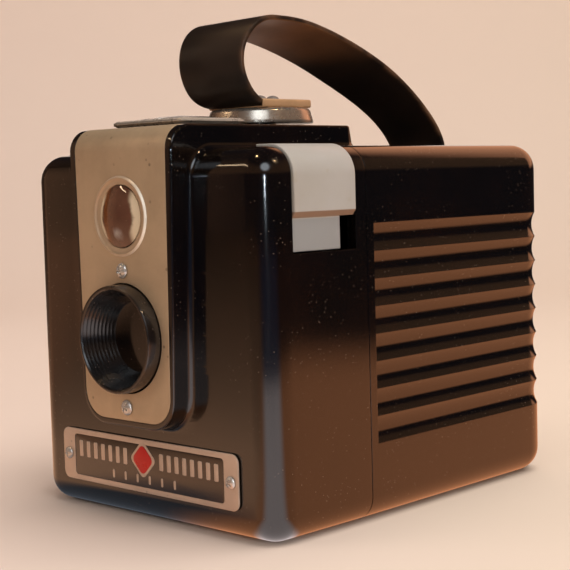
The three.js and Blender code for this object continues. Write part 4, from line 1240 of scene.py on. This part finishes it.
def strap_lean(run):
    """How far the strap's +X edge lies behind and above its middle: nothing in the clip and in the slot."""
    going = np.clip((LEAN_OUT - run) / LEAN_FADE, 0, 1)
    back = STRAP_LEAN * fade(run, *LEAN_IN) * np.sin(going * math.pi / 2)
    return back, BEND_RISE * swell(run, *BEND_RUNS) + TOP_RISE * swell(run, *TOP_RUNS)


def carrying_strap():
    """Smooth strap that curls up out of the clip, runs back over the top and dives into the rear slot."""
    line = strap_line(150)
    step = np.gradient(line[:, :2], axis=0)
    step /= np.linalg.norm(step, axis=1)[:, None]
    half, thick = (high_mm("strap")[0] - low_mm("strap")[0]) / 2, 1.3
    section = rectangle(-half, -thick / 2, half, thick / 2, 0.5, 4)
    rings = []
    for (y, z, run), (ahead_y, ahead_z) in zip(line, step):
        ahead, up = np.array([0, ahead_y, ahead_z]), np.array([0, -ahead_z, ahead_y])
        lean = np.array([0, *strap_lean(run)]) / half
        tilt = lean @ up
        side = np.array([math.sqrt(1 - tilt * tilt), 0, 0]) + up * tilt + ahead * (lean @ ahead)
        face = up - np.array([tilt, 0, 0])
        rings.append(np.array([0, y, z]) + section[:, :1] * side + section[:, 1:] * face)
    strap = loft("leather_strap", rings, crease=60)
    strap.data.materials.append(LEATHER)
    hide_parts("strap")
    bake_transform(strap)


# ---------- winding knob ----------
def grip_knob():
    """Winding knob with a fluted grip, a dished face and its keyed shaft."""
    low, high = low_mm("winding_knob"), high_mm("winding_knob")
    radius, outer = (high[2] - low[2]) / 2, low[0]
    inner = outer + 6.6
    teeth, count = 36, 36 * 6
    t = np.linspace(0, 2 * math.pi, count, endpoint=False)
    wave = 0.5 - 0.5 * np.cos(teeth * t)
    rows = [(2.0, outer + 0.9, 0), (7.6, outer + 0.8, 0), (8.3, outer + 0.1, 0), (9.3, outer, 0),
            (9.8, outer + 0.1, 0),
            (radius - 0.7, outer + 0.7, 0.2), (radius - 0.2, outer + 1.3, 0.7), (radius, outer + 2.0, 1.0),
            (radius, inner - 1.6, 1.0), (radius - 0.3, inner - 0.9, 0.7), (radius - 0.9, inner - 0.3, 0.1),
            (8.0, inner, 0), (2.6, inner, 0), (2.6, inner + 7.2, 0)]
    rings = []
    for r, x, amount in rows:
        reach = r - 0.55 * amount * wave
        rings.append(along("x", KNOB_Y + reach * np.cos(t), KNOB_Z + reach * np.sin(t), x))
    knob = loft("winding_grip", rings, crease=32)
    key = box_mm("key", (inner + 6.0, KNOB_Y - 0.45, KNOB_Z - 1.9), (high[0], KNOB_Y + 0.45, KNOB_Z + 1.9))
    boolean(knob, [key], "UNION", 32)
    finish_piece(knob, "winding_knob", ["winding_knob"], MOULDED)


# ---------- the CAD pieces that stay ----------
KEPT = [
    (STEEL, ["lens_retainer_spring", "shutter_blade", "shutter_pivot", "shutter_spring", "spring_post",
             "exposure_link", "release_link", "upper_roller", "lower_roller", "winding_bushing", "latch_hook",
             "strap_anchor"]),
    (WORKS, ["shutter_board", "film_carrier", "takeup_spool"]),
    (MIRROR, ["finder_mirror"]),
    (RED, ["red_window"]),
]


def keep_works():
    """Gives each CAD piece that stays its material."""
    for material, names in KEPT:
        for name in names:
            materials = NODES[name].data.materials
            materials.clear()
            materials.append(material)


body_shells()
face_panel()
name_plate()
cross_screws()
lens_funnel()
domed_glass("finder_lens", "finder_front_lens", 7.1, PANEL_Y - 0.1, 1.8, 1.6, FINDER_Z)
domed_glass("taking_glass", "taking_lens", 7.5, low_mm("lens_barrel")[1] + 9.2, 0.9, 0.5, LENS_Z)
finder_bead()
finder_top()
side_control("exposure_slide", "exposure_lever", "exposure_lever", 1, LEVER_TONGUE_BACK)
side_control("release_button", "shutter_release", "shutter_release", -1, RELEASE_HIGH[1])
latch_top()
carrying_strap()
grip_knob()
keep_works()
